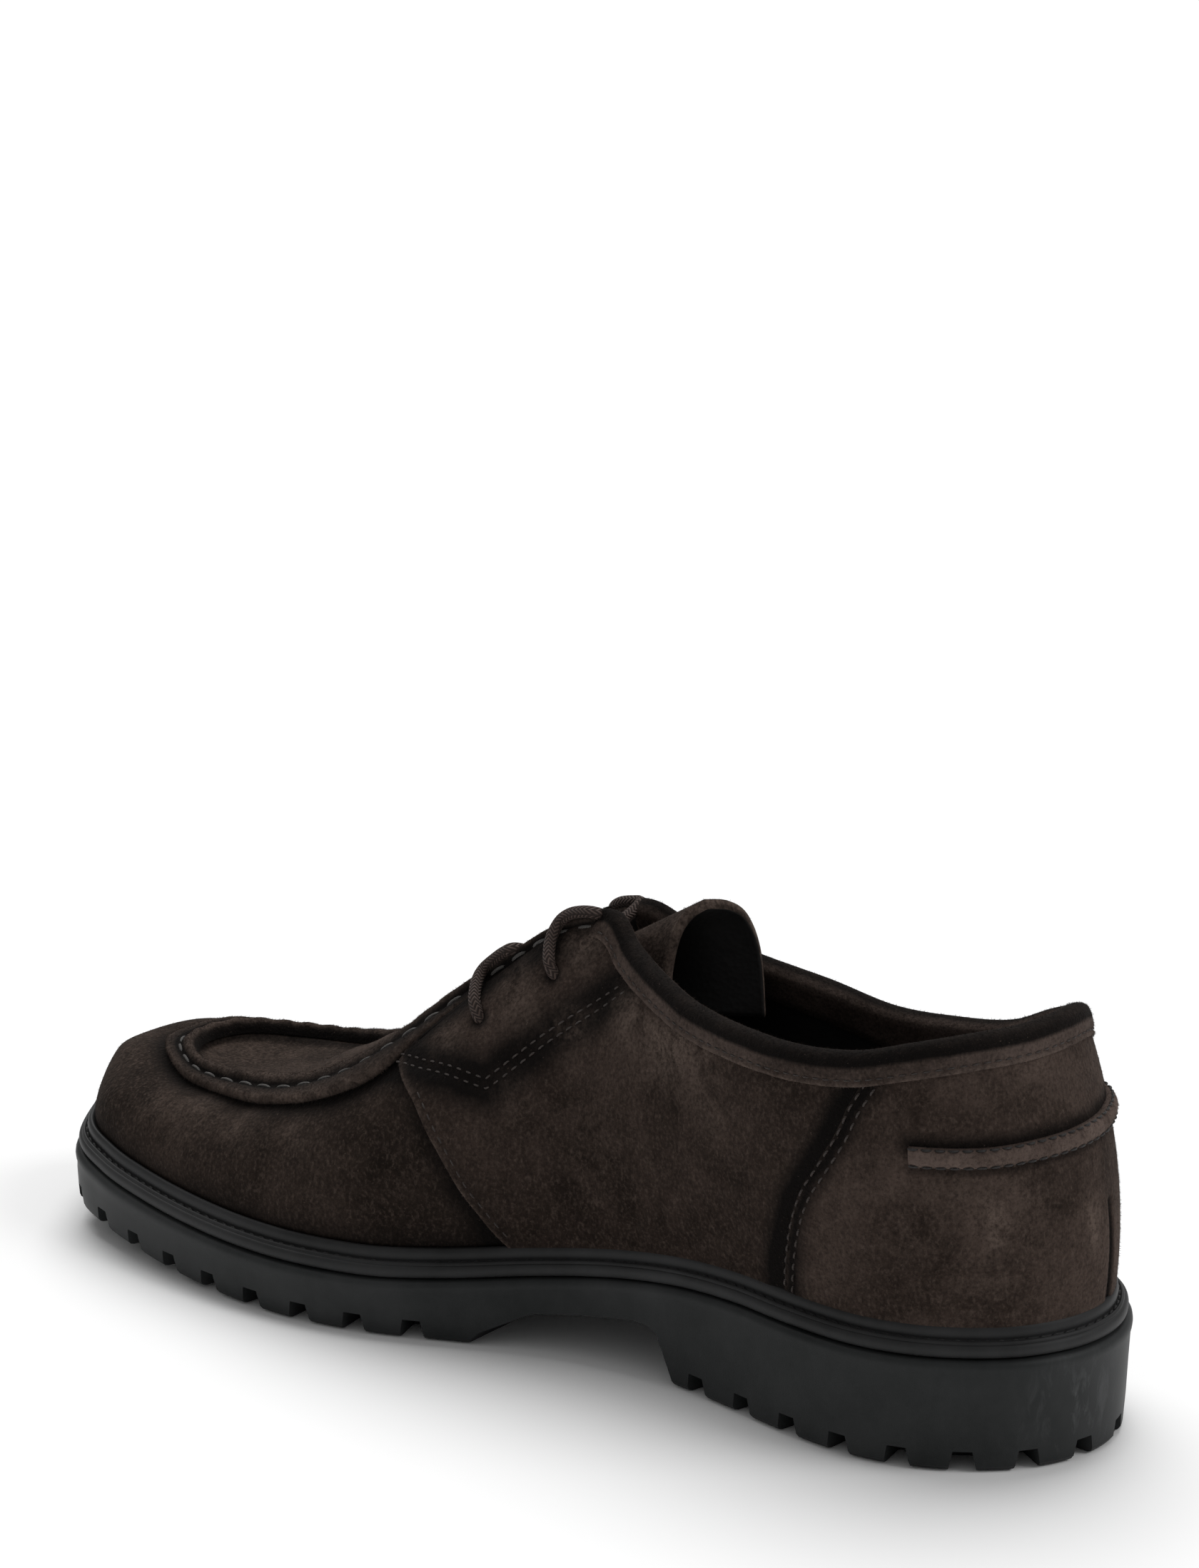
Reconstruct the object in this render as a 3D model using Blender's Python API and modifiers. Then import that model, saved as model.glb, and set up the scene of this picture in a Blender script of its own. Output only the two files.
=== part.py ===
import math

import bmesh
import bpy
import numpy as np

# Driving sizes in metres. Y runs from the heel's back to the toe, the wearer's outer side is +X.
LENGTH = 0.302
BALL_WIDTH = 0.1075
HEEL_RIB = 0.0255
BALL_RIB = 0.0135
TOE_SPRING = 0.0088
ARCH_HEIGHT = 0.0135
UPPER_RISE = 0.0845
WALL = 0.0022
GAP = 0.0003

# Sole unit, band and welt
OUTSOLE_LIP = 0.0009
MIDSOLE_THICKNESS = 0.0028
WELT_THICKNESS = 0.0014
WELT_LIP = 0.0021
WELT_SHELF_WIDTH = 0.0078
FEATHER_INSET = 0.0050
INSOLE_THICKNESS = 0.0030
TREAD_CHAMFER = 0.0012
SIDE_DRAFT = 0.0015
BREAST_AT = 0.1045
BREAST_SLANT = 0.0050
ARCH_FRONT_AT = 0.147
ARCH_FRONT_SLANT = 0.009
LUG_PITCH = 0.0155
NOTCH_TOP = 0.0048
NOTCH_FOOT = 0.0078
NOTCH_HEIGHT = 0.0056
NOTCH_DEPTH = 0.011
TREAD_GROOVE = 0.0040
TREAD_GROOVE_WIDTH = 0.0042

# Raised seam, panels, collar and strip on the upper. LIFT clears the flats of the faceted wall.
LIFT = 0.0006
SEAM_LIFT = 0.0009
SEAM_HEIGHT = 0.0030
SEAM_HEIGHT_AT_TOP = 0.0019
PANEL = 0.0010
BINDING = 0.0011
BINDING_DEPTH = 0.0062
STRIP_THICKNESS = 0.0016
STRIP_WIDTH = 0.0046

# Tongue and lace
TONGUE_THICKNESS = 0.0024
LACE_DIAMETER = 0.0026
EYELET_DIAMETER = 0.0042
LACE_TAIL = 0.0012

# Mesh counts
STATIONS_PER_ROW = 2
WALL_RINGS = 8
PLUG_COLUMNS = 6

# Half-turn rows from the heel's back to the toe. Shares of LENGTH along the sole and of
# BALL_WIDTH to the inner (medial) and outer (lateral) side.
OUTLINE = (
    # at, medial, lateral
    (0.0000, 0.000, 0.000),
    (0.0086, -0.118, 0.115),
    (0.0364, -0.234, 0.230),
    (0.0861, -0.325, 0.322),
    (0.1424, -0.362, 0.358),
    (0.2053, -0.347, 0.360),
    (0.2715, -0.307, 0.350),
    (0.3344, -0.274, 0.347),
    (0.3974, -0.267, 0.362),
    (0.4603, -0.297, 0.400),
    (0.5232, -0.365, 0.451),
    (0.5861, -0.430, 0.496),
    (0.6490, -0.462, 0.527),
    (0.7119, -0.460, 0.538),
    (0.7748, -0.437, 0.523),
    (0.8377, -0.400, 0.479),
    (0.8940, -0.352, 0.402),
    (0.9450, -0.270, 0.288),
    (0.9850, -0.085, 0.150),
    (1.0000, 0.018, 0.018),
)

# The upper's open edge, on the same rows: collar, facings, then the raised seam round the plug.
# Shares of LENGTH, of BALL_WIDTH, and of UPPER_RISE over the sole at the same row.
EDGE = (
    # at, medial, lateral, medial_rise, lateral_rise
    (0.0545, 0.000, 0.000, 0.764, 0.764),
    (0.0605, -0.107, 0.107, 0.764, 0.752),
    (0.0785, -0.209, 0.205, 0.762, 0.708),
    (0.1126, -0.274, 0.256, 0.736, 0.654),
    (0.1556, -0.298, 0.288, 0.695, 0.583),
    (0.2086, -0.298, 0.307, 0.677, 0.550),
    (0.2649, -0.274, 0.302, 0.684, 0.548),
    (0.3179, -0.228, 0.265, 0.718, 0.624),
    (0.3642, -0.172, 0.203, 0.788, 0.717),
    (0.4040, -0.112, 0.126, 0.866, 0.832),
    (0.4338, -0.070, 0.070, 0.956, 0.940),
    (0.4735, -0.074, 0.074, 0.935, 0.930),
    (0.5166, -0.088, 0.088, 0.834, 0.834),
    (0.5629, -0.112, 0.112, 0.700, 0.700),
    (0.6159, -0.149, 0.149, 0.505, 0.505),
    (0.6788, -0.172, 0.172, 0.348, 0.348),
    (0.7483, -0.177, 0.177, 0.263, 0.263),
    (0.8179, -0.163, 0.163, 0.221, 0.221),
    (0.8626, -0.098, 0.098, 0.207, 0.207),
    (0.8791, 0.005, 0.005, 0.196, 0.196),
)

# How the wall swells between the sole and its open edge, on the same rows.
# Out as shares of BALL_WIDTH, up and down as shares of the wall's own rise.
SWELL = (
    # low_out, low_up, top_out, top_down
    (0.016, 0.34, 0.062, 0.34),
    (0.018, 0.34, 0.062, 0.34),
    (0.030, 0.34, 0.062, 0.34),
    (0.034, 0.34, 0.055, 0.34),
    (0.034, 0.34, 0.050, 0.34),
    (0.032, 0.34, 0.050, 0.34),
    (0.034, 0.34, 0.055, 0.34),
    (0.040, 0.34, 0.068, 0.33),
    (0.045, 0.36, 0.085, 0.31),
    (0.045, 0.38, 0.100, 0.29),
    (0.040, 0.40, 0.110, 0.28),
    (0.035, 0.42, 0.115, 0.30),
    (0.030, 0.44, 0.120, 0.31),
    (0.025, 0.47, 0.125, 0.31),
    (0.022, 0.52, 0.135, 0.28),
    (0.020, 0.58, 0.150, 0.20),
    (0.018, 0.72, 0.160, 0.13),
    (0.012, 0.90, 0.150, 0.10),
    (0.010, 0.96, 0.165, -0.05),
    (0.010, 0.96, 0.150, 0.00),
)

# Crown of the plug between its two edges, by row, as shares of BALL_WIDTH.
THROAT_ROW = 13
PLUG_CROWN = (
    # row, crown
    (13.0, 0.030),
    (14.0, 0.062),
    (15.0, 0.068),
    (15.6, 0.048),
    (16.2, 0.008),
    (17.0, -0.010),
    (18.0, -0.010),
    (19.0, 0.000),
)

# Raised seam: row of its inner edge on the open edge, then row and height share of its cut edge.
SEAM = (
    # edge_row, cut_row, cut_up
    (10.35, 10.35, 0.930),
    (11.00, 11.00, 0.930),
    (11.60, 11.55, 0.920),
    (12.20, 12.10, 0.895),
    (12.80, 12.50, 0.820),
    (13.30, 12.66, 0.705),
    (13.70, 12.68, 0.610),
    (14.10, 12.88, 0.550),
    (14.50, 13.30, 0.535),
    (14.90, 13.80, 0.560),
    (15.30, 14.30, 0.597),
    (15.70, 14.90, 0.650),
    (16.15, 15.50, 0.705),
    (16.55, 16.00, 0.745),
    (17.05, 16.55, 0.785),
    (17.60, 17.30, 0.825),
    (18.20, 18.05, 0.830),
    (19.00, 19.00, 0.820),
)
SEAM_SECTION = (
    # share, height
    (0.06, 0.30),
    (0.13, 0.85),
    (0.28, 1.00),
    (0.46, 0.38),
    (0.60, 0.50),
    (0.98, 0.55),
)

# Edges of the panels on the inner side, as row and height share of the wall. A height of 1 stops
# under the collar binding. FACING pairs its stitched V with its edge along the throat.
FACING = (
    # low_row, low_up, high_row, high_up
    (12.42, 0.640, 12.40, 0.690),
    (11.90, 0.592, 12.36, 0.780),
    (11.20, 0.539, 11.95, 0.866),
    (10.55, 0.492, 11.20, 0.902),
    (10.25, 0.560, 10.55, 0.902),
    (9.95, 0.632, 10.10, 1.000),
    (9.60, 0.714, 9.75, 1.000),
    (9.25, 0.794, 9.35, 1.000),
    (8.95, 0.850, 9.02, 1.000),
)
QUARTER = (
    # low_row, low_up, high_row, high_up
    (9.30, 0.055, 12.42, 0.612),
    (9.05, 0.055, 11.85, 0.565),
    (8.75, 0.055, 11.17, 0.513),
    (8.40, 0.055, 10.50, 0.462),
    (8.10, 0.055, 10.10, 0.555),
    (7.80, 0.055, 9.72, 0.650),
    (7.50, 0.055, 9.22, 0.765),
    (7.20, 0.055, 8.75, 1.000),
)
QUARTER_BACK = (5.31, 3.86)
QUARTER_COLUMNS = 9
COUNTER_LOW = (5.25, 0.055)
COUNTER_HIGH_ROW = 3.80
COUNTER_BOW = 0.27

# Tongue from under the plug to its top edge. Shares of LENGTH, UPPER_RISE over the ball, BALL_WIDTH.
TONGUE = (
    # at, crest, medial, lateral, drop
    (0.6150, 0.554, 0.130, 0.130, 0.120),
    (0.5790, 0.632, 0.138, 0.138, 0.145),
    (0.5300, 0.715, 0.130, 0.130, 0.190),
    (0.4735, 0.840, 0.105, 0.105, 0.200),
    (0.4340, 0.912, 0.086, 0.078, 0.200),
    (0.3980, 0.985, 0.088, 0.092, 0.240),
    (0.3680, 1.046, 0.112, 0.160, 0.290),
)
TONGUE_MIDDLE = 0.006
TONGUE_ARCH = ((0.0, 0.0), (0.38, 0.05), (0.70, 0.19), (0.92, 0.50), (1.0, 1.0))
TONGUE_SKEW = 0.30
# The two lace bars: row and height share of the eyelet, row where the bar leaves the facing.
LACE_BARS = (
    # row, up, edge_row
    (11.45, 0.710, 12.25),
    (10.55, 0.820, 10.72),
)

BLACK_RUBBER = (0.020, 0.022, 0.023)
DARK_SUEDE = (0.040, 0.028, 0.022)
BURNISHED_SUEDE = (0.018, 0.013, 0.011)
LINING = (0.012, 0.010, 0.010)
WAXED_LACE = (0.070, 0.048, 0.040)

LAST_ROW = len(OUTLINE) - 1
TURN = 2 * LAST_ROW


def start_scene():
    """Empty the file and make the two collections and the root empty."""
    for old in list(bpy.data.objects):
        bpy.data.objects.remove(old, do_unlink=True)
    parts = bpy.data.collections.new("moc_toe_shoe")
    cutters = bpy.data.collections.new("cutters")
    bpy.context.scene.collection.children.link(parts)
    bpy.context.scene.collection.children.link(cutters)
    root = bpy.data.objects.new("shoe_origin", None)
    parts.objects.link(root)
    return parts, cutters, root


PARTS, CUTTERS, ROOT = start_scene()


def material(name, colour, roughness):
    made = bpy.data.materials.new(name)
    made.use_nodes = True
    shader = made.node_tree.nodes["Principled BSDF"]
    shader.inputs["Base Color"].default_value = (*colour, 1.0)
    shader.inputs["Roughness"].default_value = roughness
    shader.inputs["Metallic"].default_value = 0.0
    return made


def through_rows(rows, where, closed):
    """Smooth curve through evenly spaced rows, read at the row numbers in where."""
    rows = np.asarray(rows, float)
    where = np.asarray(where, float)
    count = len(rows)
    low = np.floor(where).astype(int)
    if not closed:
        low = np.clip(low, 0, count - 2)
    t = (where - low)[..., None]
    picks = [low - 1, low, low + 1, low + 2]
    if closed:
        a, b, c, d = (rows[p % count] for p in picks)
    else:
        a, b, c, d = (rows[np.clip(p, 0, count - 1)] for p in picks)
    return 0.5 * (2 * b + (c - a) * t + (2 * a - 5 * b + 4 * c - d) * t**2 + (3 * b - a - 3 * c + d) * t**3)


def full_turn(medial, lateral):
    """Rows heel to toe on the inner side, then toe to heel on the outer side."""
    return np.vstack([medial, lateral[-2:0:-1]])


def eased(t):
    t = np.clip(t, 0.0, 1.0)
    return t * t * (3 - 2 * t)


def spring(y):
    """Rise of the forefoot towards the toe."""
    return TOE_SPRING * np.clip((y / LENGTH - 0.66) / 0.34, 0.0, 1.0) ** 2


def rib_height(y):
    """Height of the sole unit's top edge over the floor."""
    drop = eased((y / LENGTH - 0.24) / 0.36)
    return HEEL_RIB + (BALL_RIB - HEEL_RIB) * drop + spring(y)


OUTLINE_TABLE = np.array(OUTLINE)
EDGE_TABLE = np.array(EDGE)
SWELL_TABLE = np.array(SWELL)
OUTLINE_TURN = full_turn(OUTLINE_TABLE[:, [1, 0]], OUTLINE_TABLE[:, [2, 0]]) * (BALL_WIDTH, LENGTH)
EDGE_TURN = full_turn(EDGE_TABLE[:, [1, 0, 3]], EDGE_TABLE[:, [2, 0, 4]]) * (BALL_WIDTH, LENGTH, UPPER_RISE)
SWELL_TURN = full_turn(SWELL_TABLE, SWELL_TABLE)


def outline(row):
    """Plan point of the sole's widest edge and its outward direction at a row round the shoe."""
    step = 0.02
    point = through_rows(OUTLINE_TURN, row, True)
    along = through_rows(OUTLINE_TURN, np.asarray(row) + step, True)
    along = along - through_rows(OUTLINE_TURN, np.asarray(row) - step, True)
    along /= np.linalg.norm(along, axis=-1, keepdims=True)
    return point, np.stack([-along[..., 1], along[..., 0]], -1)


def sole_ring(row, inset, up):
    """Points round the shoe, inset from the outline and up from the rib."""
    point, out = outline(row)
    flat = point - out * inset
    z = rib_height(point[..., 1]) + up
    return np.concatenate([flat, z[..., None]], -1)


SHELF = OUTSOLE_LIP + GAP + MIDSOLE_THICKNESS + GAP + WELT_THICKNESS


def wall_point(row, up):
    """Point on the upper's outer face: row round the shoe, up from 0 at the sole to 1 at its edge."""
    row = np.asarray(row, float)
    up = np.asarray(up, float)
    row, up = np.broadcast_arrays(row, up)
    foot = sole_ring(row, FEATHER_INSET, SHELF + GAP)
    out = outline(row)[1]
    edge = through_rows(EDGE_TURN, row, True)
    top = np.concatenate([edge[..., :2], foot[..., 2:] + edge[..., 2:]], -1)
    swell = through_rows(SWELL_TURN, row, True)
    across = top[..., :2] - foot[..., :2]
    inward = (across * out).sum(-1, keepdims=True)
    drift = across - inward * out
    rise = edge[..., 2]
    low = foot.copy()
    low[..., :2] += drift / 3 + out * swell[..., 0:1] * BALL_WIDTH
    low[..., 2] += rise * swell[..., 1]
    high = top.copy()
    high[..., :2] += -drift / 3 + out * swell[..., 2:3] * BALL_WIDTH
    high[..., 2] -= rise * swell[..., 3]
    t = up[..., None]
    return foot * (1 - t) ** 3 + 3 * low * t * (1 - t) ** 2 + 3 * high * t**2 * (1 - t) + top * t**3


def wall_frame(row, up):
    """Point, outward normal and unit direction up the wall."""
    step = 0.004
    point = wall_point(row, up)
    around = wall_point(np.asarray(row) + 0.05, up) - wall_point(np.asarray(row) - 0.05, up)
    rising = wall_point(row, np.asarray(up) + step) - wall_point(row, np.asarray(up) - step)
    rising /= np.linalg.norm(rising, axis=-1, keepdims=True)
    normal = np.cross(rising, around)
    normal /= np.linalg.norm(normal, axis=-1, keepdims=True)
    return point, normal, rising


def up_from_edge(row, distance):
    """Height share of the wall at a distance down its face from the open edge."""
    row = np.atleast_1d(np.asarray(row, float))
    distance = np.broadcast_to(np.asarray(distance, float), row.shape)
    shares = np.linspace(0.0, 1.0, 61)
    line = wall_point(row[:, None], shares[None, :])
    steps = np.linalg.norm(np.diff(line, axis=1), axis=2)
    left = np.concatenate([np.cumsum(steps[:, ::-1], axis=1)[:, ::-1], np.zeros((len(row), 1))], 1)
    return np.array([np.interp(-d, -run, shares) for d, run in zip(distance, left)])


TURN_X = through_rows(OUTLINE_TURN, np.linspace(0, TURN, 400), True)[:, 0]
CENTRE_X = (TURN_X.max() + TURN_X.min()) / 2
ROOT.location = (-CENTRE_X, -LENGTH / 2, 0.0)


def solid(name, points, faces, finish, smooth_angle=35.0):
    """One closed named object in the shoe's collection."""
    mesh = bpy.data.meshes.new(name)
    mesh.from_pydata([tuple(p) for p in points], [], faces)
    work = bmesh.new()
    work.from_mesh(mesh)
    bmesh.ops.remove_doubles(work, verts=work.verts, dist=0.00002)
    bmesh.ops.recalc_face_normals(work, faces=work.faces)
    work.to_mesh(mesh)
    work.free()
    made = bpy.data.objects.new(name, mesh)
    made.parent = ROOT
    PARTS.objects.link(made)
    mesh.materials.append(finish)
    mesh.shade_smooth()
    mesh.set_sharp_from_angle(angle=math.radians(smooth_angle))
    return made


def cutter(name, bodies):
    """One hidden object that holds separate closed prisms."""
    points = []
    faces = []
    for body_points, body_faces in bodies:
        start = len(points)
        points += [tuple(p) for p in body_points]
        faces += [tuple(start + i for i in face) for face in body_faces]
    mesh = bpy.data.meshes.new(name)
    mesh.from_pydata(points, [], faces)
    work = bmesh.new()
    work.from_mesh(mesh)
    bmesh.ops.recalc_face_normals(work, faces=work.faces)
    work.to_mesh(mesh)
    work.free()
    made = bpy.data.objects.new(name, mesh)
    made.parent = ROOT
    made.hide_render = True
    made.display_type = 'WIRE'
    CUTTERS.objects.link(made)
    return made


def cut(target, tool, crossing=False):
    change = target.modifiers.new("cut_" + tool.name, 'BOOLEAN')
    change.use_self = crossing
    change.operation = 'DIFFERENCE'
    change.solver = 'EXACT'
    change.object = tool


def prism(ring_a, ring_b):
    """Closed prism between two matching rings of points."""
    count = len(ring_a)
    faces = [tuple(range(count)), tuple(range(2 * count - 1, count - 1, -1))]
    faces += [(i, i + count, (i + 1) % count + count, (i + 1) % count) for i in range(count)]
    return list(ring_a) + list(ring_b), faces


SOLE_ROWS = np.arange(0, TURN, 0.5)


def cross_cap(base, count):
    """Faces across the shoe between the inner and the outer half of a ring."""
    faces = []
    for i in range(count // 2):
        far = (count - i) % count
        near_next = i + 1
        far_next = count - i - 1
        corners = [base + i, base + near_next, base + far_next, base + far]
        faces.append(tuple(dict.fromkeys(corners)))
    return faces


def plate(name, levels, finish):
    """Closed plate from rings of (inset, up or a height function)."""
    count = len(SOLE_ROWS)
    points = []
    faces = []
    for inset, up in levels:
        ring = sole_ring(SOLE_ROWS, inset, 0.0)
        if callable(up):
            ring[:, 2] = up(outline(SOLE_ROWS)[0][:, 1])
        else:
            ring[:, 2] += up
        points += list(ring)
    for level in range(len(levels) - 1):
        for i in range(count):
            j = (i + 1) % count
            a = level * count
            b = a + count
            faces.append((a + i, a + j, b + j, b + i))
    faces += cross_cap(0, count)
    faces += cross_cap((len(levels) - 1) * count, count)
    return solid(name, points, faces, finish)


# Outsole with heel: one moulded unit, cut by the arch, the side notches and the tread grooves
def side_profile_cutter():
    """The hollow under the arch, in front of the heel breast."""
    front = ARCH_FRONT_AT
    profile = (
        (BREAST_AT - BREAST_SLANT, -0.002),
        (BREAST_AT - BREAST_SLANT, 0.0),
        (BREAST_AT, ARCH_HEIGHT),
        (front - ARCH_FRONT_SLANT, ARCH_HEIGHT * 0.72),
        (front + ARCH_FRONT_SLANT * 0.5, ARCH_HEIGHT * 0.22),
        (front + ARCH_FRONT_SLANT, -0.002),
    )
    rings = [[(x, y, z) for y, z in profile] for x in (-BALL_WIDTH, BALL_WIDTH)]
    return prism(*rings)


def notch(row):
    """A tapered side notch between two lugs."""
    point, out = outline(row)
    along = np.array([-out[1], out[0]])
    floor = spring(point[1])
    outer = point + out * 0.004
    inner = point - out * NOTCH_DEPTH
    rings = []
    for centre, scale in ((outer, 1.0), (inner, 0.75)):
        foot = NOTCH_FOOT / 2 * scale
        top = NOTCH_TOP / 2 * scale
        height = NOTCH_HEIGHT * (1.0 if scale == 1.0 else 0.6)
        corners = ((-foot, -0.002), (foot, -0.002), (top, height), (-top, height))
        rings.append([(*(centre + along * a), floor + b) for a, b in corners])
    return prism(*rings)


def lug_rows():
    """Rows round the shoe at the lug pitch, on the forefoot and round the heel."""
    rows = np.linspace(0, TURN, 1200, endpoint=False)
    points = outline(rows)[0]
    run = np.concatenate([[0.0], np.cumsum(np.linalg.norm(np.diff(points, axis=0), axis=1))])
    length = run[-1]
    count = int(round(length / LUG_PITCH / 2)) * 2
    picked = []
    for i in range(count):
        row = float(np.interp((i + 0.5) * length / count, run, rows))
        y = outline(row)[0][1]
        if y < BREAST_AT - 0.008 or y > ARCH_FRONT_AT + ARCH_FRONT_SLANT + 0.004:
            picked.append(row)
    return picked


def groove(y, reach_low, reach_high, lean):
    """A shallow groove across the middle of the tread, bent like an arrow."""
    half = TREAD_GROOVE_WIDTH / 2
    bodies = []
    for side in (-1, 1):
        base = spring(y)
        inner = reach_low * side
        outer = reach_high * side
        rings = []
        for x, shift in ((inner, 0.0), (outer, lean)):
            corners = ((-half, -0.002), (half, -0.002), (half * 0.7, TREAD_GROOVE), (-half * 0.7, TREAD_GROOVE))
            rings.append([(x + CENTRE_X, y + shift + a, base + b) for a, b in corners])
        bodies.append(prism(*rings))
    return bodies


def tread_bodies():
    bodies = [notch(row) for row in lug_rows()]
    fore_start = ARCH_FRONT_AT + ARCH_FRONT_SLANT + 0.012
    fore_count = int((LENGTH * 0.93 - fore_start) / LUG_PITCH) + 1
    for i in range(fore_count):
        y = fore_start + i * LUG_PITCH
        reach = BALL_WIDTH * (0.27 if y < LENGTH * 0.84 else 0.17)
        bodies += groove(y, 0.0025, reach, 0.006)
    heel_count = int((BREAST_AT - 0.030) / LUG_PITCH)
    for i in range(heel_count):
        y = 0.026 + i * LUG_PITCH
        bodies += groove(y, 0.010, BALL_WIDTH * 0.21, -0.004)
    return bodies


def make_outsole(finish):
    levels = (
        (SIDE_DRAFT + TREAD_CHAMFER, spring),
        (SIDE_DRAFT, lambda y: spring(y) + TREAD_CHAMFER),
        (0.0, -0.0012),
        (0.0, 0.0),
        (0.0008, OUTSOLE_LIP),
    )
    outsole = plate("outsole", levels, finish)
    cut(outsole, cutter("arch_cutter", [side_profile_cutter()]))
    cut(outsole, cutter("tread_cutter", tread_bodies()), crossing=True)
    return outsole


def make_midsole(finish):
    base = OUTSOLE_LIP + GAP
    levels = (
        (0.0014, base),
        (0.0009, base + MIDSOLE_THICKNESS * 0.5),
        (0.0017, base + MIDSOLE_THICKNESS),
    )
    return plate("midsole", levels, finish)


def ring_solid(name, section, finish):
    """Closed ring round the shoe with a section of (inset, up)."""
    count = len(SOLE_ROWS)
    points = []
    for inset, up in section:
        points += list(sole_ring(SOLE_ROWS, inset, up))
    faces = []
    levels = len(section)
    for level in range(levels):
        a = level * count
        b = ((level + 1) % levels) * count
        for i in range(count):
            j = (i + 1) % count
            faces.append((a + i, a + j, b + j, b + i))
    return solid(name, points, faces, finish)


def make_welt(finish):
    base = OUTSOLE_LIP + GAP + MIDSOLE_THICKNESS + GAP
    lip_out = FEATHER_INSET - GAP
    section = (
        (0.0019, base),
        (0.0021, base + WELT_THICKNESS),
        (lip_out - 0.0016, base + WELT_THICKNESS),
        (lip_out - 0.0012, SHELF + WELT_LIP),
        (lip_out, SHELF + WELT_LIP * 0.8),
        (lip_out, SHELF),
        (lip_out + WELT_SHELF_WIDTH, SHELF),
        (lip_out + WELT_SHELF_WIDTH, base),
    )
    return ring_solid("welt", section, finish)


def make_insole(finish):
    base = OUTSOLE_LIP + GAP + MIDSOLE_THICKNESS + GAP
    inner = FEATHER_INSET + WELT_SHELF_WIDTH
    seat = FEATHER_INSET + WALL + 0.0006
    levels = (
        (inner, base),
        (inner, SHELF + GAP),
        (seat, SHELF + GAP),
        (seat, SHELF + GAP + INSOLE_THICKNESS),
    )
    return plate("insole", levels, finish)


# Upper: hollow wall from the welt to the collar, closed over the toe by the plug
def plug_crown(row):
    table = np.array(PLUG_CROWN)
    return np.interp(row, table[:, 0], table[:, 1]) * BALL_WIDTH


def plug_point(row, across):
    """Point on the plug: row on the inner side, across from 0 inner to 1 outer."""
    near = wall_point(row, 1.0)
    far = wall_point(TURN - row, 1.0)
    point = near + (far - near) * across
    point[2] += plug_crown(row) * (1 - (2 * across - 1) ** 2)
    return point


def make_upper(finish):
    rows = np.arange(0, TURN, 1 / STATIONS_PER_ROW)
    count = len(rows)
    shares = np.linspace(0.0, 1.0, WALL_RINGS)
    points = []
    for share in shares:
        points += list(wall_point(rows, share))
    faces = []
    for ring in range(WALL_RINGS - 1):
        a = ring * count
        b = a + count
        for i in range(count):
            j = (i + 1) % count
            faces.append((a + i, a + j, b + j, b + i))
    top = (WALL_RINGS - 1) * count
    first = THROAT_ROW * STATIONS_PER_ROW
    toe = LAST_ROW * STATIONS_PER_ROW
    lines = []
    for station in range(first, toe):
        line = [top + station]
        for column in range(1, PLUG_COLUMNS):
            line.append(len(points))
            points.append(plug_point(rows[station], column / PLUG_COLUMNS))
        line.append(top + count - station)
        lines.append(line)
    for a, b in zip(lines[:-1], lines[1:]):
        faces += [(a[k], b[k], b[k + 1], a[k + 1]) for k in range(PLUG_COLUMNS)]
    tip = top + toe
    last = lines[-1]
    faces += [(last[k], tip, last[k + 1]) for k in range(PLUG_COLUMNS)]
    mesh = bpy.data.meshes.new("upper")
    mesh.from_pydata([tuple(p) for p in points], [], faces)
    work = bmesh.new()
    work.from_mesh(mesh)
    bmesh.ops.recalc_face_normals(work, faces=work.faces)
    lowest_face = min(work.faces, key=lambda f: f.calc_center_median().y)
    if lowest_face.normal.y > 0:
        bmesh.ops.reverse_faces(work, faces=work.faces)
    work.to_mesh(mesh)
    work.free()
    upper = bpy.data.objects.new("upper", mesh)
    upper.parent = ROOT
    PARTS.objects.link(upper)
    mesh.materials.append(finish)
    mesh.shade_smooth()
    shell = upper.modifiers.new("wall", 'SOLIDIFY')
    shell.thickness = WALL
    shell.offset = -1.0
    shell.use_even_offset = False
    return upper


def skin_panel(name, low_line, high_line, levels, lift, thickness, finish, bow):
    """Panel over the wall between two matching lines of (row, up)."""
    low_line = np.array(low_line, float)
    high_line = np.array(high_line, float)
    share = np.linspace(0.0, 1.0, levels + 1)[:, None, None]
    grid = low_line[None] + (high_line - low_line)[None] * share
    grid[..., 0] += bow * 4 * share[..., 0] * (1 - share[..., 0])
    point, normal, _ = wall_frame(grid[..., 0], grid[..., 1])
    columns = len(low_line) - 1
    inner = (point + normal * lift).reshape(-1, 3)
    outer = (point + normal * (lift + thickness)).reshape(-1, 3)
    wide = columns + 1
    total = len(inner)
    faces = []
    for r in range(levels):
        for c in range(columns):
            a = r * wide + c
            quad = (a, a + 1, a + 1 + wide, a + wide)
            faces.append(quad)
            faces.append(tuple(total + q for q in reversed(quad)))
    edge = list(range(wide))
    edge += [r * wide + columns for r in range(1, levels + 1)]
    edge += [levels * wide + c for c in range(columns - 1, -1, -1)]
    edge += [r * wide for r in range(levels - 1, 0, -1)]
    for a, b in zip(edge, edge[1:] + edge[:1]):
        faces.append((a, b, total + b, total + a))
    return solid(name, list(inner) + list(outer), faces, finish, 50.0)


def outer_side(line):
    """The same line mirrored to the outer side of the shoe."""
    line = np.array(line, float)
    return np.stack([TURN - line[:, 0], line[:, 1]], 1)


SEAM_TABLE = np.array(SEAM)
SEAM_START_ROW = SEAM[0][0]
SEAM_STEPS = len(SEAM) + 6


def seam_line(place):
    """Row on the open edge, row and height share of the cut edge, place 0 to 2 round the toe."""
    half = place if place <= 1.0 else 2.0 - place
    edge_row, cut_row, cut_up = through_rows(SEAM_TABLE, half * (len(SEAM) - 1), False)
    if place > 1.0:
        return TURN - edge_row, TURN - cut_row, cut_up
    return edge_row, cut_row, cut_up


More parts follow.
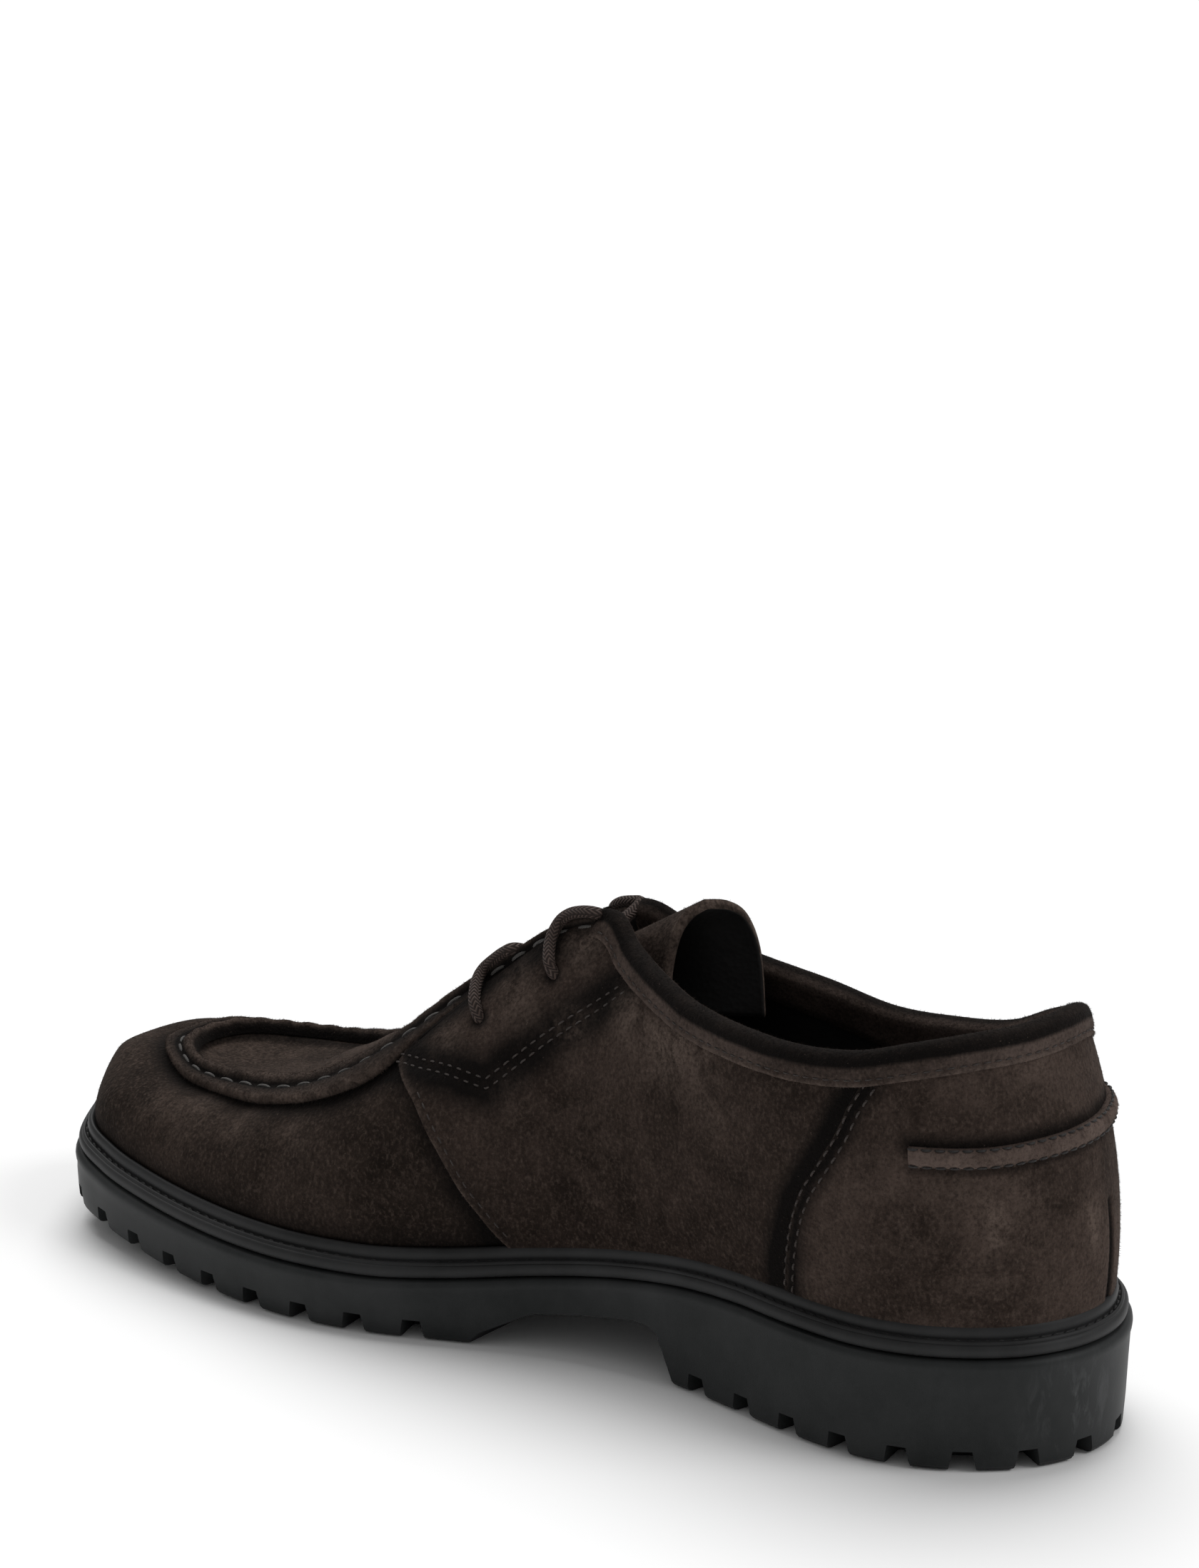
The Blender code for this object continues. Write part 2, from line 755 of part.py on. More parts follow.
def make_raised_seam(finish):
    """Cut edge, stitched groove and rolled ridge, from one facing round the toe to the other."""
    places = np.linspace(0.0, 2.0, 2 * SEAM_STEPS - 1)
    points = []
    for place in places:
        edge_row, cut_row, cut_up = seam_line(place)
        full = eased((min(edge_row, TURN - edge_row) - 12.2) / 2.6)
        tall = SEAM_HEIGHT_AT_TOP + (SEAM_HEIGHT - SEAM_HEIGHT_AT_TOP) * full
        inner_line = []
        outer_line = []
        for share, height in SEAM_SECTION:
            row = edge_row + (cut_row - edge_row) * share
            up = 1.0 + (cut_up - 1.0) * share
            point, normal, _ = wall_frame(row, up)
            inner_line.append(point + normal * SEAM_LIFT)
            outer_line.append(point + normal * (SEAM_LIFT + tall * height))
        points += inner_line + outer_line[::-1]
    around = 2 * len(SEAM_SECTION)
    faces = []
    for i in range(len(places) - 1):
        a = i * around
        b = a + around
        for k in range(around):
            m = (k + 1) % around
            faces.append((a + k, a + m, b + m, b + k))
    last = (len(places) - 1) * around
    half = len(SEAM_SECTION)
    for k in range(half - 1):
        m = around - 1 - k
        faces.append((k, k + 1, m - 1, m))
        faces.append((last + k, last + k + 1, last + m - 1, last + m))
    return solid("raised_seam", points, faces, finish, 45.0)


def make_binding(finish):
    """Folded strip over the collar edge, from one facing's top corner round the heel to the other."""
    last = int(SEAM_START_ROW)
    rows = np.linspace(-last, last, 4 * last + 1)
    points = []
    for row in rows:
        ups = up_from_edge(row, BINDING_DEPTH)[0]
        mid = up_from_edge(row, BINDING_DEPTH * 0.5)[0]
        low, low_n, _ = wall_frame(row, ups)
        half, half_n, _ = wall_frame(row, mid)
        edge, edge_n, rising = wall_frame(row, 1.0)
        inner_low = GAP + WALL + BINDING
        outer = [
            low + low_n * (GAP + BINDING * 0.8),
            half + half_n * (GAP + BINDING),
            edge + edge_n * (GAP + BINDING),
            edge + edge_n * GAP * 0.5 + rising * (GAP + BINDING * 1.35),
            edge - edge_n * (WALL + GAP * 0.5) + rising * (GAP + BINDING * 1.35),
            edge - edge_n * inner_low,
            low - low_n * inner_low,
        ]
        inner = [
            low - low_n * (WALL + GAP),
            edge - edge_n * (WALL + GAP) + rising * GAP,
            edge + edge_n * GAP + rising * GAP,
            half + half_n * GAP,
            low + low_n * GAP,
        ]
        points += outer + inner
    around = 12
    faces = []
    for i in range(len(rows) - 1):
        a = i * around
        b = a + around
        for k in range(around):
            m = (k + 1) % around
            faces.append((a + k, a + m, b + m, b + k))
    for base in (0, (len(rows) - 1) * around):
        cap = [(0, 1, 10, 11), (1, 2, 9, 10), (2, 3, 9), (3, 4, 8, 9), (4, 5, 8), (5, 6, 7, 8)]
        faces += [tuple(base + k for k in face) for face in cap]
    return solid("collar_binding", points, faces, finish, 50.0)


def under_binding(line):
    """The line with every height of 1 brought down to the collar binding's lower edge."""
    kept = []
    for row, up in line:
        if up >= 1.0:
            up = float(up_from_edge(row, BINDING_DEPTH + 2 * LIFT)[0])
        kept.append((row, up))
    return kept


def counter_lines():
    shares = np.linspace(1.0, -1.0, 17)
    low = [(share * COUNTER_LOW[0], COUNTER_LOW[1]) for share in shares]
    high = under_binding([(share * COUNTER_HIGH_ROW, 1.0) for share in shares])
    return low, high, shares * COUNTER_BOW


STRIP_ROW = 3.08
STRIP_UP = 0.625


def strip_line(offset):
    """Level line round the heel at a height, moved up or down the wall by offset."""
    line = []
    level = wall_point(0.0, STRIP_UP)[2] + offset
    for row in np.linspace(STRIP_ROW, -STRIP_ROW, 19):
        shares = np.linspace(0.2, 0.95, 60)
        heights = wall_point(row, shares)[:, 2]
        line.append((row, float(np.interp(level, heights, shares))))
    return line


# Tongue: an arched sheet that starts under the plug and stands over the collar
def tongue_point(t, across):
    table = np.array(TONGUE)
    at, crest, medial, lateral, drop = through_rows(table, t * (len(table) - 1), False)
    half = medial if across < 0 else lateral
    arch = np.array(TONGUE_ARCH)
    down = np.interp(abs(across), arch[:, 0], arch[:, 1])
    base = BALL_RIB + SHELF
    x = (TONGUE_MIDDLE + half * across) * BALL_WIDTH
    y = at * LENGTH - TONGUE_SKEW * half * across * BALL_WIDTH * t**2
    z = base + crest * UPPER_RISE - drop * down * BALL_WIDTH
    return x, y, z


def make_tongue(finish):
    lengths = 12
    across = sorted({side * share for side in (-1.0, 1.0) for share, _ in TONGUE_ARCH})
    points = [tongue_point(i / (lengths - 1), a) for i in range(lengths) for a in across]
    wide = len(across)
    faces = []
    for i in range(lengths - 1):
        for k in range(wide - 1):
            a = i * wide + k
            faces.append((a, a + wide, a + wide + 1, a + 1))
    mesh = bpy.data.meshes.new("tongue")
    mesh.from_pydata(points, [], faces)
    mesh.update()
    middle = mesh.polygons[len(mesh.polygons) // 2]
    if middle.normal.z < 0:
        mesh.flip_normals()
    tongue = bpy.data.objects.new("tongue", mesh)
    tongue.parent = ROOT
    PARTS.objects.link(tongue)
    mesh.materials.append(finish)
    mesh.shade_smooth()
    sheet = tongue.modifiers.new("sheet", 'SOLIDIFY')
    sheet.thickness = TONGUE_THICKNESS
    sheet.offset = -1.0
    return tongue


# Lace: two bars over the throat, one length led through the four eyelets
def eyelet_cutter(name, reach_in, reach_out):
    bodies = []
    for row, up, _ in LACE_BARS:
        for place in (row, TURN - row):
            centre, normal, rising = wall_frame(place, up)
            side = np.cross(normal, rising)
            rings = []
            for depth in (-reach_in, reach_out):
                ring = []
                for k in range(10):
                    angle = k * math.tau / 10
                    offset = rising * math.cos(angle) + side * math.sin(angle)
                    ring.append(centre + normal * depth + offset * EYELET_DIAMETER / 2)
                rings.append(ring)
            bodies.append(prism(*rings))
    return cutter(name, bodies)


def bar_points(row, up, edge_row):
    """Path of one bar from inside one facing, over the throat, to inside the other."""
    radius = LACE_DIAMETER / 2
    on_facing = LIFT + PANEL + GAP + radius
    on_seam = SEAM_LIFT + SEAM_HEIGHT_AT_TOP + GAP + radius
    halves = []
    for turned in (False, True):
        centre, normal, _ = wall_frame(TURN - row if turned else row, up)
        half = [centre - normal * (WALL + LACE_TAIL), centre + normal * (LIFT + PANEL + radius * 0.6)]
        steps = ((0.11, on_facing + GAP), (0.35, on_facing + GAP), (0.60, on_seam), (0.85, on_seam), (1.0, on_seam))
        for share, height in steps:
            place = row + (edge_row - row) * share
            place = TURN - place if turned else place
            point, out, _ = wall_frame(place, up + (1.0 - up) * share)
            half.append(point + out * height)
        halves.append(half)
    near, far = halves
    middle = (near[-1] + far[-1]) / 2 + np.array([0.0, 0.0, 2 * GAP])
    return near + [middle] + far[::-1]


def tube(name, path, diameter, finish):
    """Closed round tube along a path, made as a bevelled curve and kept as a mesh."""
    curve = bpy.data.curves.new(name, 'CURVE')
    curve.dimensions = '3D'
    spline = curve.splines.new('POLY')
    spline.points.add(len(path) - 1)
    for target, point in zip(spline.points, path):
        target.co = (*point, 1.0)
    curve.bevel_depth = diameter / 2
    curve.bevel_resolution = 1
    curve.use_fill_caps = True
    holder = bpy.data.objects.new(name + "_curve", curve)
    PARTS.objects.link(holder)
    bpy.context.view_layer.update()
    evaluated = holder.evaluated_get(bpy.context.evaluated_depsgraph_get())
    mesh = bpy.data.meshes.new_from_object(evaluated)
    bpy.data.objects.remove(holder, do_unlink=True)
    work = bmesh.new()
    work.from_mesh(mesh)
    bmesh.ops.remove_doubles(work, verts=work.verts, dist=0.00005)
    bmesh.ops.recalc_face_normals(work, faces=work.faces)
    work.to_mesh(mesh)
    work.free()
    mesh.name = name
    made = bpy.data.objects.new(name, mesh)
    made.parent = ROOT
    PARTS.objects.link(made)
    mesh.materials.clear()
    mesh.materials.append(finish)
    mesh.shade_smooth()
    return made


rubber = material("black_rubber", BLACK_RUBBER, 0.55)
suede = material("brown_suede", DARK_SUEDE, 0.95)
burnished = material("burnished_suede", BURNISHED_SUEDE, 0.9)
lining = material("dark_lining", LINING, 0.7)
lace_finish = material("waxed_lace", WAXED_LACE, 0.6)

make_outsole(rubber)
make_midsole(rubber)
make_welt(rubber)
make_insole(lining)
upper_shell = make_upper(suede)
cut(upper_shell, eyelet_cutter("eyelet_cutter", WALL + 0.002, 0.002))
make_raised_seam(burnished)
make_binding(burnished)
make_tongue(suede)

facing_table = np.array(FACING)
collar_steps = np.linspace(0.0, 1.0, QUARTER_COLUMNS + 1)[1:, None]
collar_end = np.array((QUARTER_BACK[0], QUARTER[-1][1], QUARTER_BACK[1], QUARTER[-1][3]))
collar_part = np.array(QUARTER[-1]) + (collar_end - np.array(QUARTER[-1])) * collar_steps
quarter_table = np.vstack([np.array(QUARTER), collar_part])
quarter_bow = COUNTER_BOW * np.linspace(0.0, 1.0, len(quarter_table)) ** 3
panels = (
    ("eyestay", facing_table, 5, burnished, np.zeros(len(facing_table))),
    ("quarter", quarter_table, 7, suede, quarter_bow),
)
for panel_name, table, rings, finish, bow in panels:
    near = (table[:, :2], table[:, 2:])
    far = (outer_side(near[0]), outer_side(near[1]))
    for side_name, (low_edge, high_edge), side_bow in (("medial", near, bow), ("lateral", far, -bow)):
        skin_panel(panel_name + "_" + side_name, low_edge, under_binding(high_edge), rings,
                   LIFT, PANEL, finish, side_bow)
for side_name in ("medial", "lateral"):
    cut(bpy.data.objects["eyestay_" + side_name], eyelet_cutter("eyelet_cutter_" + side_name, WALL, 0.004))

counter_low, counter_high, counter_bow = counter_lines()
skin_panel("counter", counter_low, counter_high, 7, LIFT, PANEL, suede, counter_bow)
half_strip = STRIP_WIDTH / 2
skin_panel("heel_strip", strip_line(-half_strip), strip_line(half_strip), 1,
           LIFT + PANEL + GAP, STRIP_THICKNESS, suede, 0.0)

for number, (lace_row, lace_up, edge_row) in enumerate(LACE_BARS, 1):
    tube("lace_bar_%d" % number, bar_points(lace_row, lace_up, edge_row), LACE_DIAMETER, lace_finish)
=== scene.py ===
import math

import bmesh
import bpy
import numpy as np
from mathutils import Matrix, Vector


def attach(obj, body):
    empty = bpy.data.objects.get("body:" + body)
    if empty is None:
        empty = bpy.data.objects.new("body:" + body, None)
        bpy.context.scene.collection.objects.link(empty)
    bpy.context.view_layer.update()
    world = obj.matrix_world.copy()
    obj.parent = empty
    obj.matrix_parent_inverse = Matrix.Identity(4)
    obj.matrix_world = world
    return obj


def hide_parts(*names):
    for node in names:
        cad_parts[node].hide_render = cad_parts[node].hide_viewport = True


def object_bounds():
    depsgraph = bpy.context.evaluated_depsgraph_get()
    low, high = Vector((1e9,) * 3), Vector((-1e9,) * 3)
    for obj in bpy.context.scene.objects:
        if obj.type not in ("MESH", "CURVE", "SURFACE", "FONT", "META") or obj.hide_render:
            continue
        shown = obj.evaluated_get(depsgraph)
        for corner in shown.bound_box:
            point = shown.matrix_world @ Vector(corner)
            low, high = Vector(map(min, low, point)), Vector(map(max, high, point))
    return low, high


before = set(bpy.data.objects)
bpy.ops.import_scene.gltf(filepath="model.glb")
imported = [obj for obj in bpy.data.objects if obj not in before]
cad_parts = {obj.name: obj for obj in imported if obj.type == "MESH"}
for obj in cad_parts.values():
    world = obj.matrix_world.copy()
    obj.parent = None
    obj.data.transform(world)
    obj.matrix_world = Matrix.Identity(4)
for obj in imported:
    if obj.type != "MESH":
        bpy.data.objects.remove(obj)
cad_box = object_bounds()

# Camera
# A long lens looks down on the inner side of the right shoe from in front of the toe's side,
# as a shop photograph does. The picture is 1680 x 2197, so the sensor's long side is upright.
camera_data = bpy.data.cameras.new("photo_camera")
camera_data.lens = 106.5
camera_data.sensor_width = 36.0
camera_data.sensor_fit = 'AUTO'
camera_data.clip_end = 20.0
camera = bpy.data.objects.new("photo_camera", camera_data)
bpy.context.scene.collection.objects.link(camera)
turned, dipped, rolled = math.radians(37.46), math.radians(15.05), math.radians(-0.5)


def toward(heading, height):
    """Direction with a heading round the upright axis and a height over the ground."""
    level = math.cos(height)
    return Vector((level * math.cos(heading), level * math.sin(heading), math.sin(height)))


looking = toward(turned, -dipped)
level_right = Vector((math.sin(turned), -math.cos(turned), 0.0))
upright = level_right.cross(looking)
picture_right = level_right * math.cos(rolled) + upright * math.sin(rolled)
picture_up = upright * math.cos(rolled) - level_right * math.sin(rolled)
seat = Vector((-0.82762, -0.64147, 0.40946))
turn = Matrix((picture_right, picture_up, -looking)).transposed()
camera.matrix_world = Matrix.Translation(seat) @ turn.to_4x4()
bpy.context.scene.camera = camera

# Studio
# A white floor under a white sky, with one wide soft light from above and a weaker one from the
# heel's side, so the suede reads soft and the rubber keeps a dull edge light.
def set_sockets(node, **values):
    """Plain values for a node's inputs; their names are written with underscores."""
    for label, value in values.items():
        node.inputs[label.replace("_", " ")].default_value = value


def plain_material(name, **values):
    """A material and its Principled shader, with plain values set on the shader."""
    made = bpy.data.materials.new(name)
    made.use_nodes = True
    shader = made.node_tree.nodes["Principled BSDF"]
    set_sockets(shader, **values)
    return made, shader


floor_half = 3.0
floor_corners = [(x * floor_half, y * floor_half, 0) for x, y in ((-1, -1), (1, -1), (1, 1), (-1, 1))]
floor_mesh = bpy.data.meshes.new("studio_floor")
floor_mesh.from_pydata(floor_corners, [], [(0, 1, 2, 3)])
studio_floor = bpy.data.objects.new("studio_floor", floor_mesh)
bpy.context.scene.collection.objects.link(studio_floor)
studio_floor.location = (0.0, 0.0, -0.0002)
paper, _ = plain_material("studio_paper", Base_Color=(0.93, 0.93, 0.93, 1.0), Roughness=0.9,
                          Specular_IOR_Level=0.1)
studio_floor.data.materials.append(paper)

world = bpy.data.worlds.new("studio_air")
bpy.context.scene.world = world
world.use_nodes = True
sky = world.node_tree.nodes["Background"]
set_sockets(sky, Color=(1.0, 1.0, 1.0, 1.0))
seen = world.node_tree.nodes.new('ShaderNodeLightPath')
sky_strength = world.node_tree.nodes.new('ShaderNodeMapRange')
set_sockets(sky_strength, To_Min=0.34, To_Max=1.0)
world.node_tree.links.new(seen.outputs["Is Camera Ray"], sky_strength.inputs["Value"])
world.node_tree.links.new(sky_strength.outputs["Result"], sky.inputs["Strength"])
bpy.context.scene.view_settings.view_transform = 'Standard'


def soft_sun(name, heading, height, strength, spread):
    """Even light from a direction, heading and height in degrees, over a wide part of the sky."""
    lamp = bpy.data.lights.new(name, 'SUN')
    lamp.energy = strength
    lamp.angle = math.radians(spread)
    holder = bpy.data.objects.new(name, lamp)
    bpy.context.scene.collection.objects.link(holder)
    travels = -toward(math.radians(heading), math.radians(height))
    holder.rotation_euler = travels.to_track_quat('-Z', 'Y').to_euler()


soft_sun("overhead_light", 40.0, 62.0, 2.3, 50.0)
soft_sun("heel_side_light", -70.0, 40.0, 0.85, 30.0)

# Sole unit
# One moulded black rubber unit: a stacked heel, an arch and a lugged forefoot, with a fine rim
# along its top. It is cast in one shot, and its side notches run in under the tread.
shoe_length = cad_box[1][1] - cad_box[0][1]
ball_width = 0.1075
heel_rib, ball_rib, toe_spring, arch_height = 0.0255, 0.0135, 0.0088, 0.0135
breast_at, breast_slant, arch_front_at, arch_front_slant = 0.1045, 0.0050, 0.147, 0.009
# Outline of the sole from the heel's back to the toe: share of the length along the shoe, then
# shares of the ball's width to the inner and to the outer side.
sole_outline = np.array((
    # along, inner, outer
    (0.0000, 0.000, 0.000), (0.0086, -0.118, 0.115), (0.0364, -0.234, 0.230), (0.0861, -0.325, 0.322),
    (0.1424, -0.362, 0.358), (0.2053, -0.347, 0.360), (0.2715, -0.307, 0.350), (0.3344, -0.274, 0.347),
    (0.3974, -0.267, 0.362), (0.4603, -0.297, 0.400), (0.5232, -0.365, 0.451), (0.5861, -0.430, 0.496),
    (0.6490, -0.462, 0.527), (0.7119, -0.460, 0.538), (0.7748, -0.437, 0.523), (0.8377, -0.400, 0.479),
    (0.8940, -0.352, 0.402), (0.9450, -0.270, 0.288), (0.9850, -0.085, 0.150), (1.0000, 0.018, 0.018),
))
toe_row = len(sole_outline) - 1
full_round = 2 * toe_row


def round_the_shoe(inner, outer):
    """Rows from the heel to the toe on the inner side, and back on the outer side."""
    return np.vstack([inner, outer[-2:0:-1]])


def smooth_rows(rows, where, closed=True):
    """Values on a smooth curve through evenly numbered rows."""
    where = np.asarray(where, float)
    count = len(rows)
    low = np.floor(where).astype(int)
    if not closed:
        low = np.clip(low, 0, count - 2)
    t = (where - low)[..., None]
    picks = [low - 1, low, low + 1, low + 2]
    a, b, c, d = (rows[p % count] if closed else rows[np.clip(p, 0, count - 1)] for p in picks)
    return 0.5 * (2 * b + (c - a) * t + (2 * a - 5 * b + 4 * c - d) * t**2 + (3 * b - a - 3 * c + d) * t**3)


def unit(vectors):
    """The same directions at length one."""
    return vectors / np.linalg.norm(vectors, axis=-1, keepdims=True)


def run_along(points):
    """Distance along a line of points, from its first."""
    return np.concatenate([[0.0], np.cumsum(np.linalg.norm(np.diff(points, axis=0), axis=1))])


def read_along(at, run, values):
    """Rows of values at distances along a line."""
    return np.stack([np.interp(at, run, column) for column in values.T], -1)


def near(gap, reach):
    """One where the gap is nothing, fading to nothing past the reach."""
    return np.exp(-(gap / reach) ** 2)


sole_round = round_the_shoe(sole_outline[:, [1, 0]], sole_outline[:, [2, 0]]) * (ball_width, shoe_length)
widest = smooth_rows(sole_round, np.linspace(0, full_round, 400))[:, 0]
centre = np.array(((widest.max() + widest.min()) / 2, shoe_length / 2))


def ease(t):
    t = np.clip(t, 0.0, 1.0)
    return t * t * (3 - 2 * t)


def sole_edge(row):
    """Plan point on the sole's widest edge, and the direction out of the shoe there."""
    row = np.asarray(row, float)
    point = smooth_rows(sole_round, row)
    along = unit(smooth_rows(sole_round, row + 0.02) - smooth_rows(sole_round, row - 0.02))
    return point, np.stack([-along[..., 1], along[..., 0]], -1)


def toe_rise(y):
    return toe_spring * np.clip((y / shoe_length - 0.66) / 0.34, 0.0, 1.0) ** 2


def rib_level(y):
    """Height of the rubber unit's top rim along the shoe."""
    return heel_rib + (ball_rib - heel_rib) * ease((y / shoe_length - 0.24) / 0.36) + toe_rise(y)


def place_points(points):
    """From the last's own coordinates, heel at the origin, to the frame's."""
    points = np.array(points, float)
    points[..., :2] -= centre
    return points


def mesh_piece(name, points, faces, materials, node=None, slot=None, smooth=True):
    """A named mesh that rides on the shoe and, if asked, stands for CAD nodes."""
    made_mesh = bpy.data.meshes.new(name)
    made_mesh.from_pydata([tuple(p) for p in points], [], faces)
    made_mesh.update()
    piece = bpy.data.objects.new(name, made_mesh)
    bpy.context.scene.collection.objects.link(piece)
    for one in materials:
        made_mesh.materials.append(one)
    if smooth:
        made_mesh.shade_smooth()
    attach(piece, "root")
    if node:
        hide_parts(*node)
    return piece


def tell_points(piece, name, values):
    """Stores one number for each point, for the material to read."""
    layer = piece.data.attributes.new(name, 'FLOAT', 'POINT')
    layer.data.foreach_set("value", np.asarray(values, np.float32).ravel())


def ring_faces(levels, count, closed_levels=False):
    """Quads between rings of points that go all the way round."""
    faces = []
    for level in range(levels if closed_levels else levels - 1):
        a = level * count
        b = ((level + 1) % levels) * count
        faces += [(a + i, a + (i + 1) % count, b + (i + 1) % count, b + i) for i in range(count)]
    return faces


def sheet_faces(rows, columns):
    """Quads of an open grid of points, row by row."""
    return [(r * columns + c, r * columns + c + 1, (r + 1) * columns + c + 1, (r + 1) * columns + c)
            for r in range(rows - 1) for c in range(columns - 1)]


def node_in(tree, kind, **values):
    """A shader node with its settings and plain input values."""
    node = tree.nodes.new(kind)
    for key, value in values.items():
        if hasattr(node, key):
            setattr(node, key, value)
        else:
            set_sockets(node, **{key: value})
    return node


def ramp(tree, source, low, high, low_value=0.0, high_value=1.0):
    """Maps a range of a value to another, clamped."""
    node = node_in(tree, 'ShaderNodeMapRange', From_Min=low, From_Max=high, To_Min=low_value,
                   To_Max=high_value)
    tree.links.new(source, node.inputs["Value"])
    return node.outputs["Result"]


def noise(tree, coords, scale, detail=2.0, roughness=0.5, distortion=0.0):
    node = node_in(tree, 'ShaderNodeTexNoise', Scale=scale, Detail=detail, Roughness=roughness,
                   Distortion=distortion)
    tree.links.new(coords, node.inputs["Vector"])
    return node.outputs["Fac"]


def stretched(tree, coords, **values):
    """Coordinates scaled and turned, so that a texture is drawn out one way."""
    node = node_in(tree, 'ShaderNodeMapping', **values)
    tree.links.new(coords, node.inputs["Vector"])
    return node.outputs["Vector"]


def point_value(tree, label):
    """A number stored on the piece's points."""
    return node_in(tree, 'ShaderNodeAttribute', attribute_name=label).outputs["Fac"]


def feed(tree, node, *pairs):
    """Plain values or links into a node's inputs."""
    for place, value in pairs:
        if isinstance(value, (int, float, tuple)):
            node.inputs[place].default_value = value
        else:
            tree.links.new(value, node.inputs[place])


def arithmetic(tree, operation, a, b):
    node = node_in(tree, 'ShaderNodeMath', operation=operation)
    feed(tree, node, (0, a), (1, b))
    return node.outputs[0]


def times(tree, a, b):
    return arithmetic(tree, 'MULTIPLY', a, b)


def plus(tree, a, b):
    return arithmetic(tree, 'ADD', a, b)


def blend_colour(tree, factor, first, second):
    node = node_in(tree, 'ShaderNodeMix', data_type='RGBA')
    feed(tree, node, (0, factor), (6, first), (7, second))
    return node.outputs[2]


def effect_group(name, build, **inputs):
    """A shader node group with the colour, roughness and height that a function builds in it."""
    group = bpy.data.node_groups.new(name, 'ShaderNodeTree')
    sockets = group.interface
    for label, default in inputs.items():
        kind = 'NodeSocketColor' if isinstance(default, tuple) else 'NodeSocketFloat'
        socket = sockets.new_socket(label.replace("_", " "), in_out='INPUT', socket_type=kind)
        socket.default_value = default
    sockets.new_socket("Color", in_out='OUTPUT', socket_type='NodeSocketColor')
    sockets.new_socket("Roughness", in_out='OUTPUT', socket_type='NodeSocketFloat')
    sockets.new_socket("Height", in_out='OUTPUT', socket_type='NodeSocketFloat')
    start, end = group.nodes.new('NodeGroupInput'), group.nodes.new('NodeGroupOutput')
    coords = group.nodes.new('ShaderNodeTexCoord').outputs["Object"]
    for label, result in zip(("Color", "Roughness", "Height"), build(group, start.outputs, coords)):
        group.links.new(result, end.inputs[label])
    return group


def effect_material(name, group, bump_strength, bump_distance, shader_values, **group_values):
    """A material with its colour, roughness and bump from one node group."""
    made, shader = plain_material(name, **shader_values)
    tree = made.node_tree
    effect = node_in(tree, 'ShaderNodeGroup', node_tree=group)
    set_sockets(effect, **group_values)
    bump = node_in(tree, 'ShaderNodeBump', Strength=bump_strength, Distance=bump_distance)
    tree.links.new(effect.outputs["Color"], shader.inputs["Base Color"])
    tree.links.new(effect.outputs["Roughness"], shader.inputs["Roughness"])
    tree.links.new(effect.outputs["Height"], bump.inputs["Height"])
    tree.links.new(bump.outputs["Normal"], shader.inputs["Normal"])
    return made


def bloomed_rubber(group, start, coords):
    """Moulded rubber: faint cloudy bloom, dust and short scuffs, and a fine mould texture."""
    cloud = noise(group, coords, 34.0, 4.0, 0.6)
    speck = noise(group, coords, 900.0, 3.0, 0.7)
    scuff = noise(group, stretched(group, coords, Scale=(330.0, 330.0, 110.0)), 1.0, 4.0, 0.65, 0.6)
    mask = times(group, ramp(group, scuff, 0.50, 0.72), point_value(group, "scuffed"))
    fleck = times(group, ramp(group, speck, 0.66, 0.80, 0.0, 0.35), ramp(group, cloud, 0.45, 0.7))
    dust = times(group, arithmetic(group, 'MAXIMUM', mask, fleck), start["Dust Amount"])
    base = blend_colour(group, ramp(group, cloud, 0.3, 0.8, 0.0, 0.16), start["Rubber"], start["Dust"])
    grain = noise(group, coords, 2600.0, 2.0, 0.6)
    return (blend_colour(group, dust, base, start["Dust"]), ramp(group, cloud, 0.25, 0.75, 0.44, 0.60),
            plus(group, times(group, grain, 0.35), cloud))


rubber_bloom = effect_group("rubber_bloom", bloomed_rubber, Rubber=(0.02, 0.02, 0.02, 1.0),
                            Dust=(0.16, 0.16, 0.165, 1.0), Dust_Amount=0.5)


def rubber_material(name, colour, dust_amount, specular):
    return effect_material(name, rubber_bloom, 0.25, 0.0003, {"Specular_IOR_Level": specular},
                           Rubber=colour, Dust_Amount=dust_amount)


moulded_rubber = rubber_material("moulded_rubber", (0.0112, 0.0128, 0.0128, 1.0), 0.35, 0.18)

sole_stations = np.arange(0, full_round, 0.125)
rim_point, rim_out = sole_edge(sole_stations)
rim_z = rib_level(rim_point[:, 1])
floor_z = toe_rise(rim_point[:, 1])
toe_share = ease((rim_point[:, 1] / shoe_length - 0.86) / 0.12)
# Section of the side wall from the tread up to the rim: how far in, then a height from the floor
# as a share of the wall, then a small step up in metres.
wall_section = (
    # inset, share, step
    (0.0034, 0.0, 0.0000), (0.0024, 0.0, 0.0003), (0.0017, 0.0, 0.0012), (0.0012, 0.30, 0.0),
    (0.0008, 0.62, 0.0), (0.0004, 1.0, -0.0030), (0.0001, 1.0, -0.0020), (0.0000, 1.0, -0.0012),
    (0.0001, 1.0, -0.0004), (0.0006, 1.0, 0.0003), (0.0014, 1.0, 0.0007), (0.0060, 1.0, 0.0007),
)
sole_points = []
for inset, share, step in wall_section:
    draft = inset * (1 - 0.75 * toe_share * (share < 0.9))
    flat = rim_point - rim_out * draft[:, None]
    height = floor_z + (rim_z - floor_z) * share + step
    sole_points.append(np.column_stack([flat, height]))
sole_count = len(sole_stations)
sole_faces = ring_faces(len(wall_section), sole_count)
for base in (0, (len(wall_section) - 1) * sole_count):
    for i in range(sole_count // 2):
        corners = (base + i, base + i + 1, base + sole_count - i - 1, base + (sole_count - i) % sole_count)
        sole_faces.append(tuple(dict.fromkeys(corners)))
sole_unit = mesh_piece("sole_unit", place_points(np.vstack(sole_points)), sole_faces, [moulded_rubber],
                       ["outsole"], "black_rubber", smooth=False)


